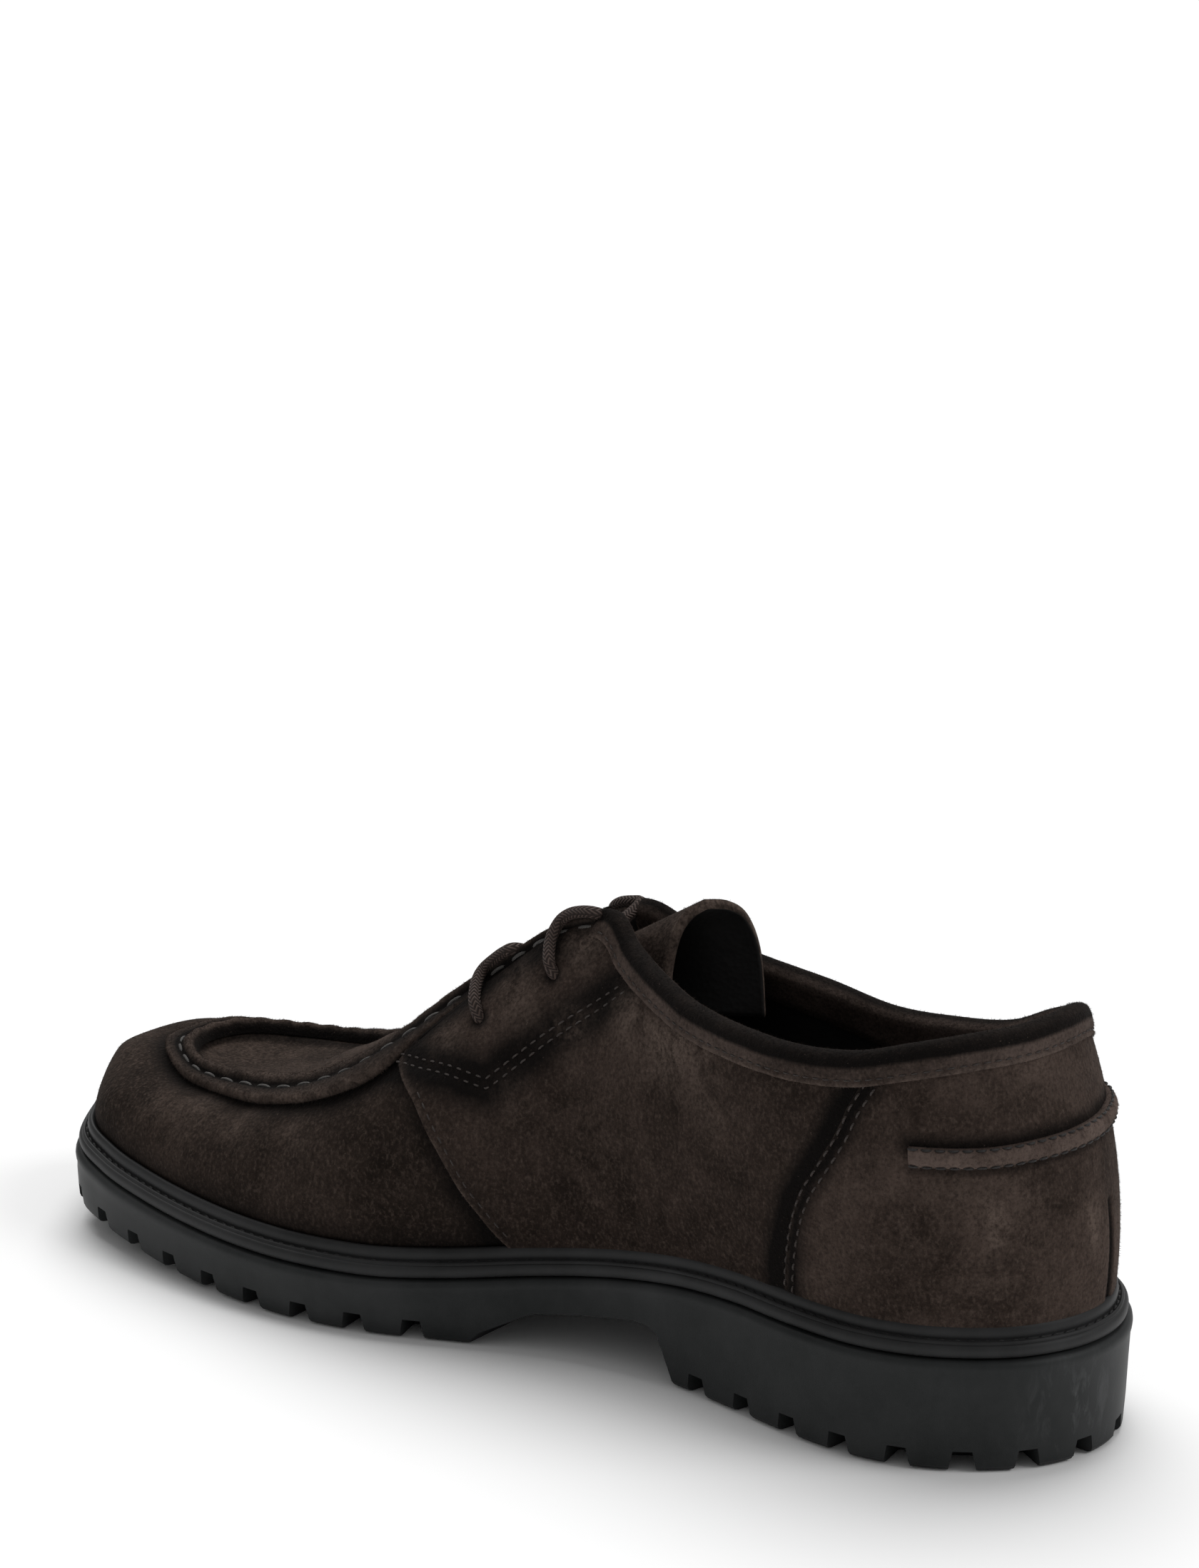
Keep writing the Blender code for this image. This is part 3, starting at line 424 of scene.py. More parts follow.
def prism_between(ring_a, ring_b):
    count = len(ring_a)
    faces = [tuple(range(count)), tuple(range(2 * count - 1, count - 1, -1))]
    faces += [(i, i + count, (i + 1) % count + count, (i + 1) % count) for i in range(count)]
    return list(ring_a) + list(ring_b), faces


def joined(bodies):
    """One list of points and one of faces from many small bodies."""
    points, faces = [], []
    for body_points, body_faces in bodies:
        faces += [tuple(len(points) + i for i in face) for face in body_faces]
        points += [tuple(p) for p in body_points]
    return points, faces


def face_outwards(mesh, merge):
    """Joins points closer than merge and turns the faces out."""
    work = bmesh.new()
    work.from_mesh(mesh)
    if merge:
        bmesh.ops.remove_doubles(work, verts=work.verts, dist=merge)
    bmesh.ops.recalc_face_normals(work, faces=work.faces)
    work.to_mesh(mesh)
    work.free()


def orient_out(piece):
    face_outwards(piece.data, 0.00002)


def carve(piece, name, bodies, crossing):
    """Cuts hidden tool bodies out of a piece and bakes the result in."""
    points, faces = joined(bodies)
    tool_mesh = bpy.data.meshes.new(name)
    tool_mesh.from_pydata([tuple(p) for p in place_points(points)], [], faces)
    face_outwards(tool_mesh, 0.0)
    tool = bpy.data.objects.new(name, tool_mesh)
    bpy.context.scene.collection.objects.link(tool)
    change = piece.modifiers.new(name, 'BOOLEAN')
    change.operation = 'DIFFERENCE'
    change.solver = 'EXACT'
    change.use_self = crossing
    change.object = tool
    bpy.context.view_layer.update()
    shaped = bpy.data.meshes.new_from_object(piece.evaluated_get(bpy.context.evaluated_depsgraph_get()))
    piece.modifiers.clear()
    piece.data = shaped
    bpy.data.objects.remove(tool, do_unlink=True)


orient_out(sole_unit)
arch_profile = (
    (breast_at - breast_slant, -0.002), (breast_at - breast_slant, 0.0),
    (breast_at - breast_slant * 0.12, arch_height * 0.86), (breast_at + 0.0016, arch_height * 0.97),
    (breast_at + 0.006, arch_height), (arch_front_at - arch_front_slant, arch_height * 0.72),
    (arch_front_at + arch_front_slant * 0.5, arch_height * 0.22), (arch_front_at + arch_front_slant, -0.002))
carve(sole_unit, "arch_tool",
      [prism_between(*[[(x, y, z) for y, z in arch_profile] for x in (-ball_width, ball_width)])], False)

lug_pitch, notch_top, notch_foot, notch_tall, notch_deep = 0.0155, 0.0048, 0.0078, 0.0056, 0.011
walk = np.linspace(0, full_round, 1200, endpoint=False)
walk_points = sole_edge(walk)[0]
walk_run = run_along(walk_points)
lug_count = int(round(walk_run[-1] / lug_pitch / 2)) * 2
tread_tools = []
for i in range(lug_count):
    lug_row = float(np.interp((i + 0.5) * walk_run[-1] / lug_count, walk_run, walk))
    point, out = sole_edge(lug_row)
    if breast_at - 0.008 < point[1] < arch_front_at + arch_front_slant + 0.004:
        continue
    along = np.array([-out[1], out[0]])
    rings = []
    for centre_point, scale, tall in ((point + out * 0.004, 1.0, 1.0), (point - out * notch_deep, 0.75, 0.6)):
        foot, top, height = notch_foot / 2 * scale, notch_top / 2 * scale, notch_tall * tall
        corners = ((-foot, -0.002), (foot, -0.002), (top, height), (-top, height))
        rings.append([(*(centre_point + along * a), toe_rise(point[1]) + b) for a, b in corners])
    tread_tools.append(prism_between(*rings))
groove_wide, groove_deep = 0.0042, 0.0040


def tread_groove(y, start_x, end_x, lean):
    for side in (-1, 1):
        rings = []
        for x, shift in ((start_x * side, 0.0), (end_x * side, lean)):
            half = groove_wide / 2
            corners = ((-half, -0.002), (half, -0.002), (half * 0.7, groove_deep), (-half * 0.7, groove_deep))
            rings.append([(x + centre[0], y + shift + a, toe_rise(y) + b) for a, b in corners])
        tread_tools.append(prism_between(*rings))


fore_start = arch_front_at + arch_front_slant + 0.012
for i in range(int((shoe_length * 0.93 - fore_start) / lug_pitch) + 1):
    groove_y = fore_start + i * lug_pitch
    tread_groove(groove_y, 0.0025, ball_width * (0.27 if groove_y < shoe_length * 0.84 else 0.17), 0.006)
for i in range(int((breast_at - 0.030) / lug_pitch)):
    tread_groove(0.026 + i * lug_pitch, 0.010, ball_width * 0.21, -0.004)
carve(sole_unit, "tread_tool", tread_tools, True)
sole_unit.data.materials.clear()
sole_unit.data.materials.append(moulded_rubber)
softened = sole_unit.modifiers.new("moulded_corners", 'BEVEL')
softened.width = 0.00045
softened.segments = 2
softened.limit_method = 'ANGLE'
softened.angle_limit = math.radians(42)
sole_unit.data.shade_smooth()
sole_unit.data.set_sharp_from_angle(angle=math.radians(32))
sole_at = np.array([v.co[:] for v in sole_unit.data.vertices])
dusty_corner = np.array((-0.014, -0.1475, 0.013))
dusty_reach = np.array((0.010, 0.008, 0.010))
dusty = np.exp(-(((sole_at - dusty_corner) / dusty_reach) ** 2).sum(1))
tell_points(sole_unit, "scuffed", np.clip(0.9 * dusty + 0.04, 0, 1))

# Midsole band
# A rounded black band between the rubber unit and the welt, set back behind the rim so that a
# dark groove shows under it. It is cemented on and follows the rim right round.
band_rubber = rubber_material("band_rubber", (0.0115, 0.0118, 0.0118, 1.0), 0.25, 0.2)
ring_stations = np.arange(0, full_round, 0.1)
ring_count = len(ring_stations)
ring_point, ring_out = sole_edge(ring_stations)
ring_rib = rib_level(ring_point[:, 1])


def swept_ring(name, section, materials, node, slot):
    """A closed ring round the shoe from (inset, rise) points of its section."""
    rings = [np.column_stack([ring_point - ring_out * inset, ring_rib + rise]) for inset, rise in section]
    faces = ring_faces(len(section), ring_count, closed_levels=True)
    piece = mesh_piece(name, place_points(np.vstack(rings)), faces, materials, node, slot)
    orient_out(piece)
    piece.data.shade_smooth()
    tell_points(piece, "scuffed", np.full(len(piece.data.vertices), 0.05))
    return piece


band_foot, band_tall = 0.0011, 0.0030
band_round = [(0.0010 + 0.0009 * (1 - math.sin(a)), band_foot + band_tall * (0.5 - 0.5 * math.cos(a)))
              for a in np.linspace(0.12, math.pi - 0.12, 10)]
band_section = [(0.0065, band_foot)] + band_round + [(0.0065, band_foot + band_tall)]
swept_ring("midsole_band", band_section, [band_rubber], ["midsole"], "black_rubber")

# Welt
# A black rubber welt with a lip that stands up against the upper, and a sunken channel outside
# it. The channel carries the black lockstitch that holds welt, band and upper together.
welt_rubber = rubber_material("welt_rubber", (0.0085, 0.0087, 0.0087, 1.0), 0.20, 0.2)
shelf = 0.0057
feather_inset = 0.0050
welt_foot = band_foot + band_tall
welt_section = (
    (0.0135, welt_foot - 0.0006), (0.0021, welt_foot - 0.0006), (0.0018, welt_foot - 0.0002),
    (0.0020, welt_foot + 0.0004), (0.0024, welt_foot + 0.0008), (0.0027, welt_foot + 0.0006),
    (0.0029, welt_foot + 0.0001), (0.0033, welt_foot + 0.0001), (0.0035, welt_foot + 0.0009),
    (0.0033, welt_foot + 0.0017), (0.0034, welt_foot + 0.0026), (0.0037, welt_foot + 0.0033),
    (0.0042, welt_foot + 0.0037), (0.0047, welt_foot + 0.0036), (0.0052, welt_foot + 0.0030),
    (0.0056, welt_foot + 0.0016), (0.0135, welt_foot + 0.0010),
)
swept_ring("welt_ring", welt_section, [welt_rubber], ["welt"], "black_rubber")


def plied_thread(group, start, coords):
    """Twisted thread: fine ply lines with painted shade between the plies, a waxy highlight and a little
    dirt.
    """
    ply = node_in(group, 'ShaderNodeTexWave', wave_type='BANDS', bands_direction='DIAGONAL', Distortion=2.0)
    group.links.new(coords, ply.inputs["Vector"])
    group.links.new(start["Twist"], ply.inputs["Scale"])
    soil = noise(group, coords, 220.0, 3.0, 0.6)
    # Painted shade: the ply bands blend to the dark colour between the plies; the soil noise below adds real
    # dirt.
    shade = blend_colour(group, ramp(group, ply.outputs["Fac"], 0.2, 0.8), start["Soiled"], start["Thread"])
    colour = blend_colour(group, ramp(group, soil, 0.5, 0.75, 0.0, 0.6), shade, start["Soiled"])
    return colour, ramp(group, soil, 0.3, 0.7, 0.5, 0.75), ply.outputs["Fac"]


thread_ply = effect_group("thread_ply", plied_thread, Thread=(0.04, 0.03, 0.02, 1.0),
                          Soiled=(0.02, 0.01, 0.01, 1.0), Twist=1000.0)


def thread_material(name, colour, twist):
    dirt_and_ply_shade = tuple(c * 0.45 for c in colour[:3]) + (1.0,)
    return effect_material(name, thread_ply, 0.6, 0.0002, {}, Thread=colour, Soiled=dirt_and_ply_shade, Twist=twist)


black_thread = thread_material("black_thread", (0.010, 0.010, 0.010, 1.0), 900.0)


def tube(spine, side, up, radius, sides):
    """A capped tube round a line; the radius is one number, or one for each point."""
    angles = (np.arange(sides) * math.tau / sides)[None, :, None]
    spokes = side[:, None] * np.cos(angles) + up[:, None] * np.sin(angles)
    points = spine[:, None] + spokes * np.reshape(radius, (-1, 1, 1))
    last = (len(spine) - 1) * sides
    caps = [tuple(range(sides - 1, -1, -1)), tuple(range(last, last + sides))]
    return points.reshape(-1, 3), ring_faces(len(spine), sides) + caps


def stitch_row(name, points, normals, stitch, material, sides=6):
    """Separate thread loops along a line on a surface, each dipping in at both of its ends.
    A stitch is its pitch, its length, its thickness and how far it stands off the surface."""
    pitch, length, thick, stand = stitch
    run = run_along(points)
    stitches = []
    arcs = np.linspace(0.0, 1.0, 6)
    hump = np.sin(arcs * math.pi) ** 0.55
    for begin in np.arange(max(1, int(run[-1] / pitch))) * pitch:
        at = begin + arcs * length
        mid = read_along(at, run, points)
        up = unit(read_along(at, run, normals))
        side = np.cross(unit(np.gradient(mid, axis=0)), up)
        mid = mid + up * (stand * hump - thick * 0.55 * (1 - hump))[:, None]
        stitches.append(tube(mid, side, up, thick / 2 * (0.62 + 0.38 * hump), sides))
    return mesh_piece(name, *joined(stitches), [material])


channel_plan = np.column_stack([ring_point - ring_out * 0.0031, ring_rib + welt_foot + 0.0002])
channel_line = place_points(np.vstack([channel_plan, channel_plan[:1]]))
straight_up = np.tile((0.0, 0.0, 1.0), (ring_count + 1, 1))
welt_stitch = (0.0032, 0.0025, 0.0008, 0.0002)
stitch_row("welt_lockstitch", channel_line, straight_up, welt_stitch, black_thread)

# Insole
# Black leather sock over a thin board, level under the heel and dropping to the ball. It is
# glued in last and only shows as a dark floor inside the collar.
def pebbled_leather(group, start, coords):
    """Pebbled smooth leather: fine cells, a soft sheen change and a faint crease cloud."""
    cells = node_in(group, 'ShaderNodeTexVoronoi')
    group.links.new(coords, cells.inputs["Vector"])
    group.links.new(start["Cell Scale"], cells.inputs["Scale"])
    cloud = noise(group, coords, 45.0, 3.0, 0.6)
    worn = ramp(group, cloud, 0.35, 0.8, 0.0, 0.35)
    return (blend_colour(group, worn, start["Leather"], (0.03, 0.028, 0.027, 1.0)),
            ramp(group, cloud, 0.3, 0.7, 0.55, 0.75), cells.outputs["Distance"])


leather_grain = effect_group("leather_grain", pebbled_leather, Leather=(0.01, 0.01, 0.01, 1.0),
                             Cell_Scale=700.0)


def leather_material(name, colour, cell_scale):
    return effect_material(name, leather_grain, 0.3, 0.0003, {"Specular_IOR_Level": 0.3},
                           Leather=colour, Cell_Scale=cell_scale)


sock_leather = leather_material("sock_leather", (0.010, 0.009, 0.009, 1.0), 620.0)
insole_foot, insole_top = shelf + 0.0003, shelf + 0.0033
sock_columns = np.linspace(0.0, 1.0, 13)
sock_rows = np.arange(0.15, toe_row - 0.1, 0.15)
sock_points = []
for row in sock_rows:
    near_point, near_out = sole_edge(row)
    far_point, far_out = sole_edge(full_round - row)
    near_edge = near_point - near_out * 0.0080
    far_edge = far_point - far_out * 0.0080
    for share in sock_columns:
        spot = near_edge + (far_edge - near_edge) * share
        dish = 0.0006 * (2 * share - 1) ** 4
        sock_points.append((*spot, rib_level(spot[1]) + insole_top + dish))
sock_faces = sheet_faces(len(sock_rows), len(sock_columns))
insole_sock = mesh_piece("insole_sock", place_points(sock_points), sock_faces, [sock_leather], ["insole"],
                         "dark_lining")
board = insole_sock.modifiers.new("board", 'SOLIDIFY')
board.thickness = insole_top - insole_foot
board.offset = -1.0 if insole_sock.data.polygons[0].normal.z > 0 else 1.0

# Vamp and plug
# The main suede skin: lasted from the feather up, over the toe and round to the heel, with the
# sunken moccasin plug let in on top. It is one soft hide about 2 mm thick with a black lining.
upper_rise, wall_thick = 0.0845, 0.0022
# The open edge: collar, facings, then the line where the plug is let in, on the outline's rows.
open_edge = np.array((
    # along, inner, outer, inner rise, outer rise
    (0.0545, 0.000, 0.000, 0.764, 0.764), (0.0605, -0.107, 0.107, 0.764, 0.752),
    (0.0785, -0.209, 0.205, 0.762, 0.708), (0.1126, -0.274, 0.256, 0.736, 0.654),
    (0.1556, -0.298, 0.288, 0.695, 0.583), (0.2086, -0.298, 0.307, 0.677, 0.550),
    (0.2649, -0.274, 0.302, 0.684, 0.548), (0.3179, -0.228, 0.265, 0.718, 0.624),
    (0.3642, -0.172, 0.203, 0.788, 0.717), (0.4040, -0.112, 0.126, 0.866, 0.832),
    (0.4338, -0.070, 0.070, 0.956, 0.940), (0.4735, -0.074, 0.074, 0.935, 0.930),
    (0.5166, -0.088, 0.088, 0.834, 0.834), (0.5629, -0.112, 0.112, 0.700, 0.700),
    (0.6159, -0.149, 0.149, 0.505, 0.505), (0.6788, -0.172, 0.172, 0.348, 0.348),
    (0.7483, -0.177, 0.177, 0.263, 0.263), (0.8179, -0.163, 0.163, 0.221, 0.221),
    (0.8626, -0.098, 0.098, 0.207, 0.207), (0.8791, 0.005, 0.005, 0.196, 0.196),
))
# Fullness of the wall between the feather and the open edge, on the same rows.
wall_swell = np.array((
    # low out, low up, top out, top down
    (0.016, 0.34, 0.062, 0.34), (0.018, 0.34, 0.062, 0.34), (0.030, 0.34, 0.062, 0.34),
    (0.034, 0.34, 0.055, 0.34), (0.034, 0.34, 0.050, 0.34), (0.032, 0.34, 0.050, 0.34),
    (0.034, 0.34, 0.055, 0.34), (0.040, 0.34, 0.068, 0.33), (0.045, 0.36, 0.085, 0.31),
    (0.045, 0.38, 0.100, 0.29), (0.040, 0.40, 0.110, 0.28), (0.035, 0.42, 0.115, 0.30),
    (0.030, 0.44, 0.120, 0.31), (0.025, 0.47, 0.125, 0.31), (0.022, 0.52, 0.135, 0.28),
    (0.020, 0.58, 0.150, 0.20), (0.018, 0.72, 0.160, 0.13), (0.012, 0.90, 0.150, 0.10),
    (0.010, 0.96, 0.165, -0.05), (0.010, 0.96, 0.150, 0.00),
))
edge_round = round_the_shoe(open_edge[:, [1, 0, 3]], open_edge[:, [2, 0, 4]])
edge_round = edge_round * (ball_width, shoe_length, upper_rise)
swell_round = round_the_shoe(wall_swell, wall_swell)


def hide_point(row, up):
    """Point on the upper's outer face: row round the shoe, up from the feather to the open edge."""
    row, up = np.broadcast_arrays(np.asarray(row, float), np.asarray(up, float))
    plan, out = sole_edge(row)
    foot_plan = plan - out * feather_inset
    foot = np.concatenate([foot_plan, (rib_level(foot_plan[..., 1]) + shelf + 0.0003)[..., None]], -1)
    edge = smooth_rows(edge_round, row)
    top = np.concatenate([edge[..., :2], foot[..., 2:] + edge[..., 2:]], -1)
    swell = smooth_rows(swell_round, row)
    across = top[..., :2] - foot[..., :2]
    drift = across - (across * out).sum(-1, keepdims=True) * out
    low, high = foot.copy(), top.copy()
    low[..., :2] += drift / 3 + out * swell[..., 0:1] * ball_width
    low[..., 2] += edge[..., 2] * swell[..., 1]
    high[..., :2] += -drift / 3 + out * swell[..., 2:3] * ball_width
    high[..., 2] -= edge[..., 2] * swell[..., 3]
    t = up[..., None]
    return foot * (1 - t) ** 3 + 3 * low * t * (1 - t) ** 2 + 3 * high * t**2 * (1 - t) + top * t**3


def hide_frame(row, up):
    """Point, outward normal and direction up the wall."""
    row, up = np.asarray(row, float), np.asarray(up, float)
    around = hide_point(row + 0.05, up) - hide_point(row - 0.05, up)
    rising = unit(hide_point(row, up + 0.004) - hide_point(row, up - 0.004))
    return hide_point(row, up), unit(np.cross(rising, around)), rising


def lay_on_hide(dense, lift, spacing):
    """Evenly spaced points and normals along a close (row, up) line."""
    points, normals, _ = hide_frame(dense[:, 0], dense[:, 1])
    run = run_along(points)
    at = np.linspace(0, run[-1], max(4, int(run[-1] / spacing)))
    normals = unit(read_along(at, run, normals))
    return read_along(at, run, points) + normals * lift, normals


def on_hide(line, lift=0.0, spacing=0.0012):
    """A (row, up) line laid on the hide as a smooth curve."""
    line = np.asarray(line, float)
    steps = np.linspace(0, len(line) - 1, 60 * (len(line) - 1) + 1)
    return lay_on_hide(smooth_rows(line, steps, closed=False), lift, spacing)


def straight_on_hide(line):
    """As on_hide, but with sharp corners at the line's own points."""
    line = np.asarray(line, float)
    steps = np.linspace(0, len(line) - 1, 60 * (len(line) - 1) + 1)
    return lay_on_hide(read_along(steps, np.arange(len(line)), line), 0.0, 0.0012)


def distance_to(points, line, chunk=4000):
    """Shortest distance from each point to a line of points."""
    points = np.asarray(points, float).reshape(-1, 3)
    start, step = line[:-1], np.diff(line, axis=0)
    size = (step * step).sum(1) + 1e-12
    found = np.empty(len(points))
    for first in range(0, len(points), chunk):
        block = points[first:first + chunk]
        offset = block[:, None, :] - start[None]
        t = np.clip((offset * step[None]).sum(2) / size, 0, 1)
        gap = offset - t[..., None] * step[None]
        found[first:first + chunk] = np.sqrt((gap * gap).sum(2).min(1))
    return found


def other_side(line):
    line = np.array(line, float)
    line[:, 0] = full_round - line[:, 0]
    return line


# Seam and stitch lines of the inner side, as rows and heights on the hide. The outer side
# mirrors them.
facing_v = ((12.60, 0.640), (11.90, 0.580), (11.20, 0.532), (10.55, 0.488), (10.20, 0.575), (9.70, 0.690),
            (9.25, 0.790), (8.70, 0.912))
quarter_front = ((12.62, 0.665), (12.55, 0.625), (12.00, 0.525), (11.50, 0.440), (10.75, 0.295),
                 (10.20, 0.185), (9.80, 0.115), (9.25, 0.010))
counter_front = ((3.80, 0.935), (4.05, 0.845), (4.25, 0.730), (4.55, 0.595), (4.80, 0.480), (5.00, 0.330),
                 (5.15, 0.160), (5.25, 0.010))
moc_lines = np.array((
    # row of the plug's edge, row and height of the cut edge
    (10.30, 10.30, 0.930), (11.00, 11.00, 0.930), (11.60, 11.55, 0.920), (12.20, 12.10, 0.895),
    (12.80, 12.50, 0.820), (13.30, 12.66, 0.705), (13.70, 12.68, 0.610), (14.10, 12.88, 0.550),
    (14.50, 13.30, 0.535), (14.90, 13.80, 0.560), (15.30, 14.30, 0.597), (15.70, 14.90, 0.650),
    (16.15, 15.50, 0.705), (16.55, 16.00, 0.745), (17.05, 16.55, 0.785), (17.60, 17.30, 0.825),
    (18.20, 18.05, 0.830), (19.00, 19.00, 0.820),
))


def moc_place(place):
    """Row on the plug's edge, row and height of the cut edge: place 0 to 1 inner, 1 to 2 outer."""
    half = place if place <= 1.0 else 2.0 - place
    edge_row, cut_row, cut_up = smooth_rows(moc_lines, half * (len(moc_lines) - 1), closed=False)
    if place > 1.0:
        return full_round - edge_row, full_round - cut_row, cut_up
    return edge_row, cut_row, cut_up


def brushed_suede(group, start, coords):
    """Brushed suede: brown mottle, streaks of turned nap, pale flecks, black burnish and painted shade,
    and rubbed edges read from the piece, and a fibre height."""
    patch = noise(group, coords, 26.0, 4.0, 0.58, 0.8)
    brushed = noise(group, coords, 95.0, 4.0, 0.62, 1.4)
    combed = stretched(group, coords, Scale=(520.0, 380.0, 240.0), Rotation=(0.3, 0.5, 0.2))
    fibre = noise(group, combed, 2.2, 3.0, 0.65)
    fleck = noise(group, coords, 1500.0, 2.0, 0.5)
    grain = noise(group, coords, 1150.0, 3.0, 0.60)
    mottle = plus(group, ramp(group, patch, 0.39, 0.64, 0.0, 0.66),
                  ramp(group, brushed, 0.34, 0.70, 0.0, 0.38))
    uneven = times(group, arithmetic(group, 'SUBTRACT', brushed, 0.5), 0.55)
    # The point value darkens towards black: real burnish and painted shade alike.
    ragged = plus(group, point_value(group, "burnish_and_shade"), uneven)
    patchy = times(group, ramp(group, brushed, 0.38, 0.62, 0.25, 1.35),
                   ramp(group, grain, 0.34, 0.60, 0.35, 1.0))
    colour = blend_colour(group, mottle, start["Deep"], start["Warm"])
    layers = (
        # mask, colour laid over
        (ramp(group, fibre, 0.52, 0.74, 0.0, 0.34), "Rubbed"),
        (ramp(group, grain, 0.50, 0.32, 0.0, 0.38), "Black"),
        (ramp(group, grain, 0.53, 0.68, 0.0, 0.21), "Rubbed"),
        (ramp(group, ragged, 0.20, 0.80, 0.0, 0.95), "Black"),
        (times(group, point_value(group, "rubbed"), patchy), "Rubbed"),
        (ramp(group, fleck, 0.70, 0.80, 0.0, 0.5), "Rubbed"))
    for mask, laid_over in layers:
        colour = blend_colour(group, mask, colour, start[laid_over])
    pile = plus(group, times(group, fibre, 0.6), times(group, grain, 0.9))
    return colour, ramp(group, brushed, 0.3, 0.7, 0.86, 0.97), plus(group, pile, times(group, brushed, 0.8))


suede_nap = effect_group("suede_nap", brushed_suede, Deep=(0.014, 0.010, 0.008, 1.0),
                         Warm=(0.05, 0.034, 0.028, 1.0), Black=(0.0034, 0.0030, 0.0029, 1.0),
                         Rubbed=(0.11, 0.082, 0.068, 1.0))


def suede_material(name, deep, warm):
    sheen = {"Specular_IOR_Level": 0.05, "Sheen_Weight": 0.03, "Sheen_Roughness": 0.45,
             "Sheen_Tint": (0.55, 0.45, 0.40, 1.0)}
    return effect_material(name, suede_nap, 0.65, 0.0006, sheen, Deep=(*deep, 1.0), Warm=(*warm, 1.0))


def finish_skin(piece, burnish_and_shade, rubbed):
    """Stores a skin's burnish and painted shade and where it is rubbed, and turns its faces out."""
    tell_points(piece, "burnish_and_shade", np.clip(burnish_and_shade, 0, 1))
    tell_points(piece, "rubbed", np.clip(rubbed, 0, 1))
    orient_out(piece)
    piece.data.shade_smooth()


vamp_suede = suede_material("vamp_suede", (0.0105, 0.0073, 0.0056), (0.0370, 0.0262, 0.0212))
lining_leather = leather_material("lining_leather", (0.0085, 0.0078, 0.0078, 1.0), 800.0)
# Soft troughs pressed in the hide, drawn on the inner side and mirrored.
vamp_troughs = (
    # line of rows and heights, reach, depth
    (((13.10, 0.62), (13.25, 0.40), (13.10, 0.20)), 0.0060, 0.00055),
    (((11.60, 0.36), (11.40, 0.22), (11.00, 0.10)), 0.0060, 0.00045),
    (((15.20, 0.72), (14.90, 0.52), (14.40, 0.36)), 0.0070, 0.00040),
    (((16.60, 0.66), (17.10, 0.48), (17.20, 0.30)), 0.0080, 0.00035),
)
pale_vamp = (
    # row, height on the hide, reach, strength
    (15.40, 0.45, 0.0080, 0.44), (16.20, 0.46, 0.0050, 0.30), (14.45, 0.42, 0.0050, 0.26),
    (13.20, 0.34, 0.0055, 0.30), (14.80, 0.60, 0.0060, 0.22), (17.60, 0.55, 0.0080, 0.16),
    (12.30, 0.20, 0.0080, 0.12),
)

vamp_rows = np.arange(0, full_round, 0.1)
vamp_ups = np.linspace(0.0, 1.0, 56)
vamp_grid, vamp_normals, _ = hide_frame(vamp_rows[None, :], vamp_ups[:, None])
cut_places = np.array([moc_place(p) for p in np.linspace(0.0, 2.0, 161)])
cut_line = hide_point(cut_places[:, 1], cut_places[:, 2])
vamp_flat = vamp_grid.reshape(-1, 3)
to_cut = distance_to(vamp_flat, cut_line)
front_lines = [on_hide(line)[0] for line in (quarter_front, other_side(quarter_front))]
to_quarter = np.minimum(*[distance_to(vamp_flat, line) for line in front_lines])
sunk = 0.0007 * near(to_cut, 0.0045) + 0.0003 * near(to_quarter, 0.0030)
for trough, reach, depth in vamp_troughs:
    for line in (trough, other_side(trough)):
        sunk = sunk + depth * near(distance_to(vamp_flat, on_hide(line)[0]), reach)
over_welt = vamp_flat[:, 2] - rib_level(vamp_flat[:, 1]) - shelf
sunk = sunk + 0.00048 * near(over_welt, 0.0045)
vamp_points = vamp_flat - vamp_normals.reshape(-1, 3) * sunk[:, None]
vamp_burnish_and_shade = 0.80 * near(to_cut, 0.0055) + 0.55 * near(to_quarter, 0.0045) + 0.45 * near(over_welt, 0.006)
# Painted shade: the vamp is darkened towards the bottom of its wall, where less light falls from above.
vamp_burnish_and_shade += 0.22 * ease((0.55 - np.repeat(vamp_ups, len(vamp_rows))) / 0.5)
plug_rows = np.arange(13.0, toe_row + 0.001, 0.1)
plug_across = np.linspace(0.0, 1.0, 33)
# Crown of the plug over its own edges, by row: high at the throat, sunken over the toes.
plug_crown = np.array((
    # row, share of the ball's width
    (13.0, 0.030), (14.0, 0.062), (15.0, 0.068), (15.6, 0.048), (16.2, 0.008), (17.0, -0.010),
    (18.0, -0.010), (19.0, 0.0),
))
# Near its sides the plug is painted dark: a painted shadow under the raised seam's ridge.
plug_points, plug_painted_shadow = [], []
for row in plug_rows:
    near_edge, far_edge = hide_point(row, 1.0), hide_point(full_round - row, 1.0)
    crown = np.interp(row, *plug_crown.T) * ball_width
    for share in plug_across:
        spot = near_edge + (far_edge - near_edge) * share
        to_side = min(share, 1 - share) * np.linalg.norm(far_edge - near_edge)
        drop = 0.0012 * ease(to_side / 0.003) * ease((row - 14.0) / 1.5)
        spot[2] += crown * (1 - (2 * share - 1) ** 2) - drop
        plug_points.append(spot)
        plug_painted_shadow.append(0.95 * near(to_side, 0.0035))
vamp_faces = ring_faces(len(vamp_ups), len(vamp_rows))
vamp_faces += [tuple(len(vamp_points) + face[i] for i in (0, 3, 2, 1))
               for face in sheet_faces(len(plug_rows), len(plug_across))]


def pale_spots(flat, spots):
    """Soft dusty places on the nap: row, height on the hide, reach and strength."""
    pale = np.zeros(len(flat))
    for row, up, reach, strength in spots:
        pale += strength * near(np.linalg.norm(flat - hide_point(row, up), axis=1), reach)
    return pale


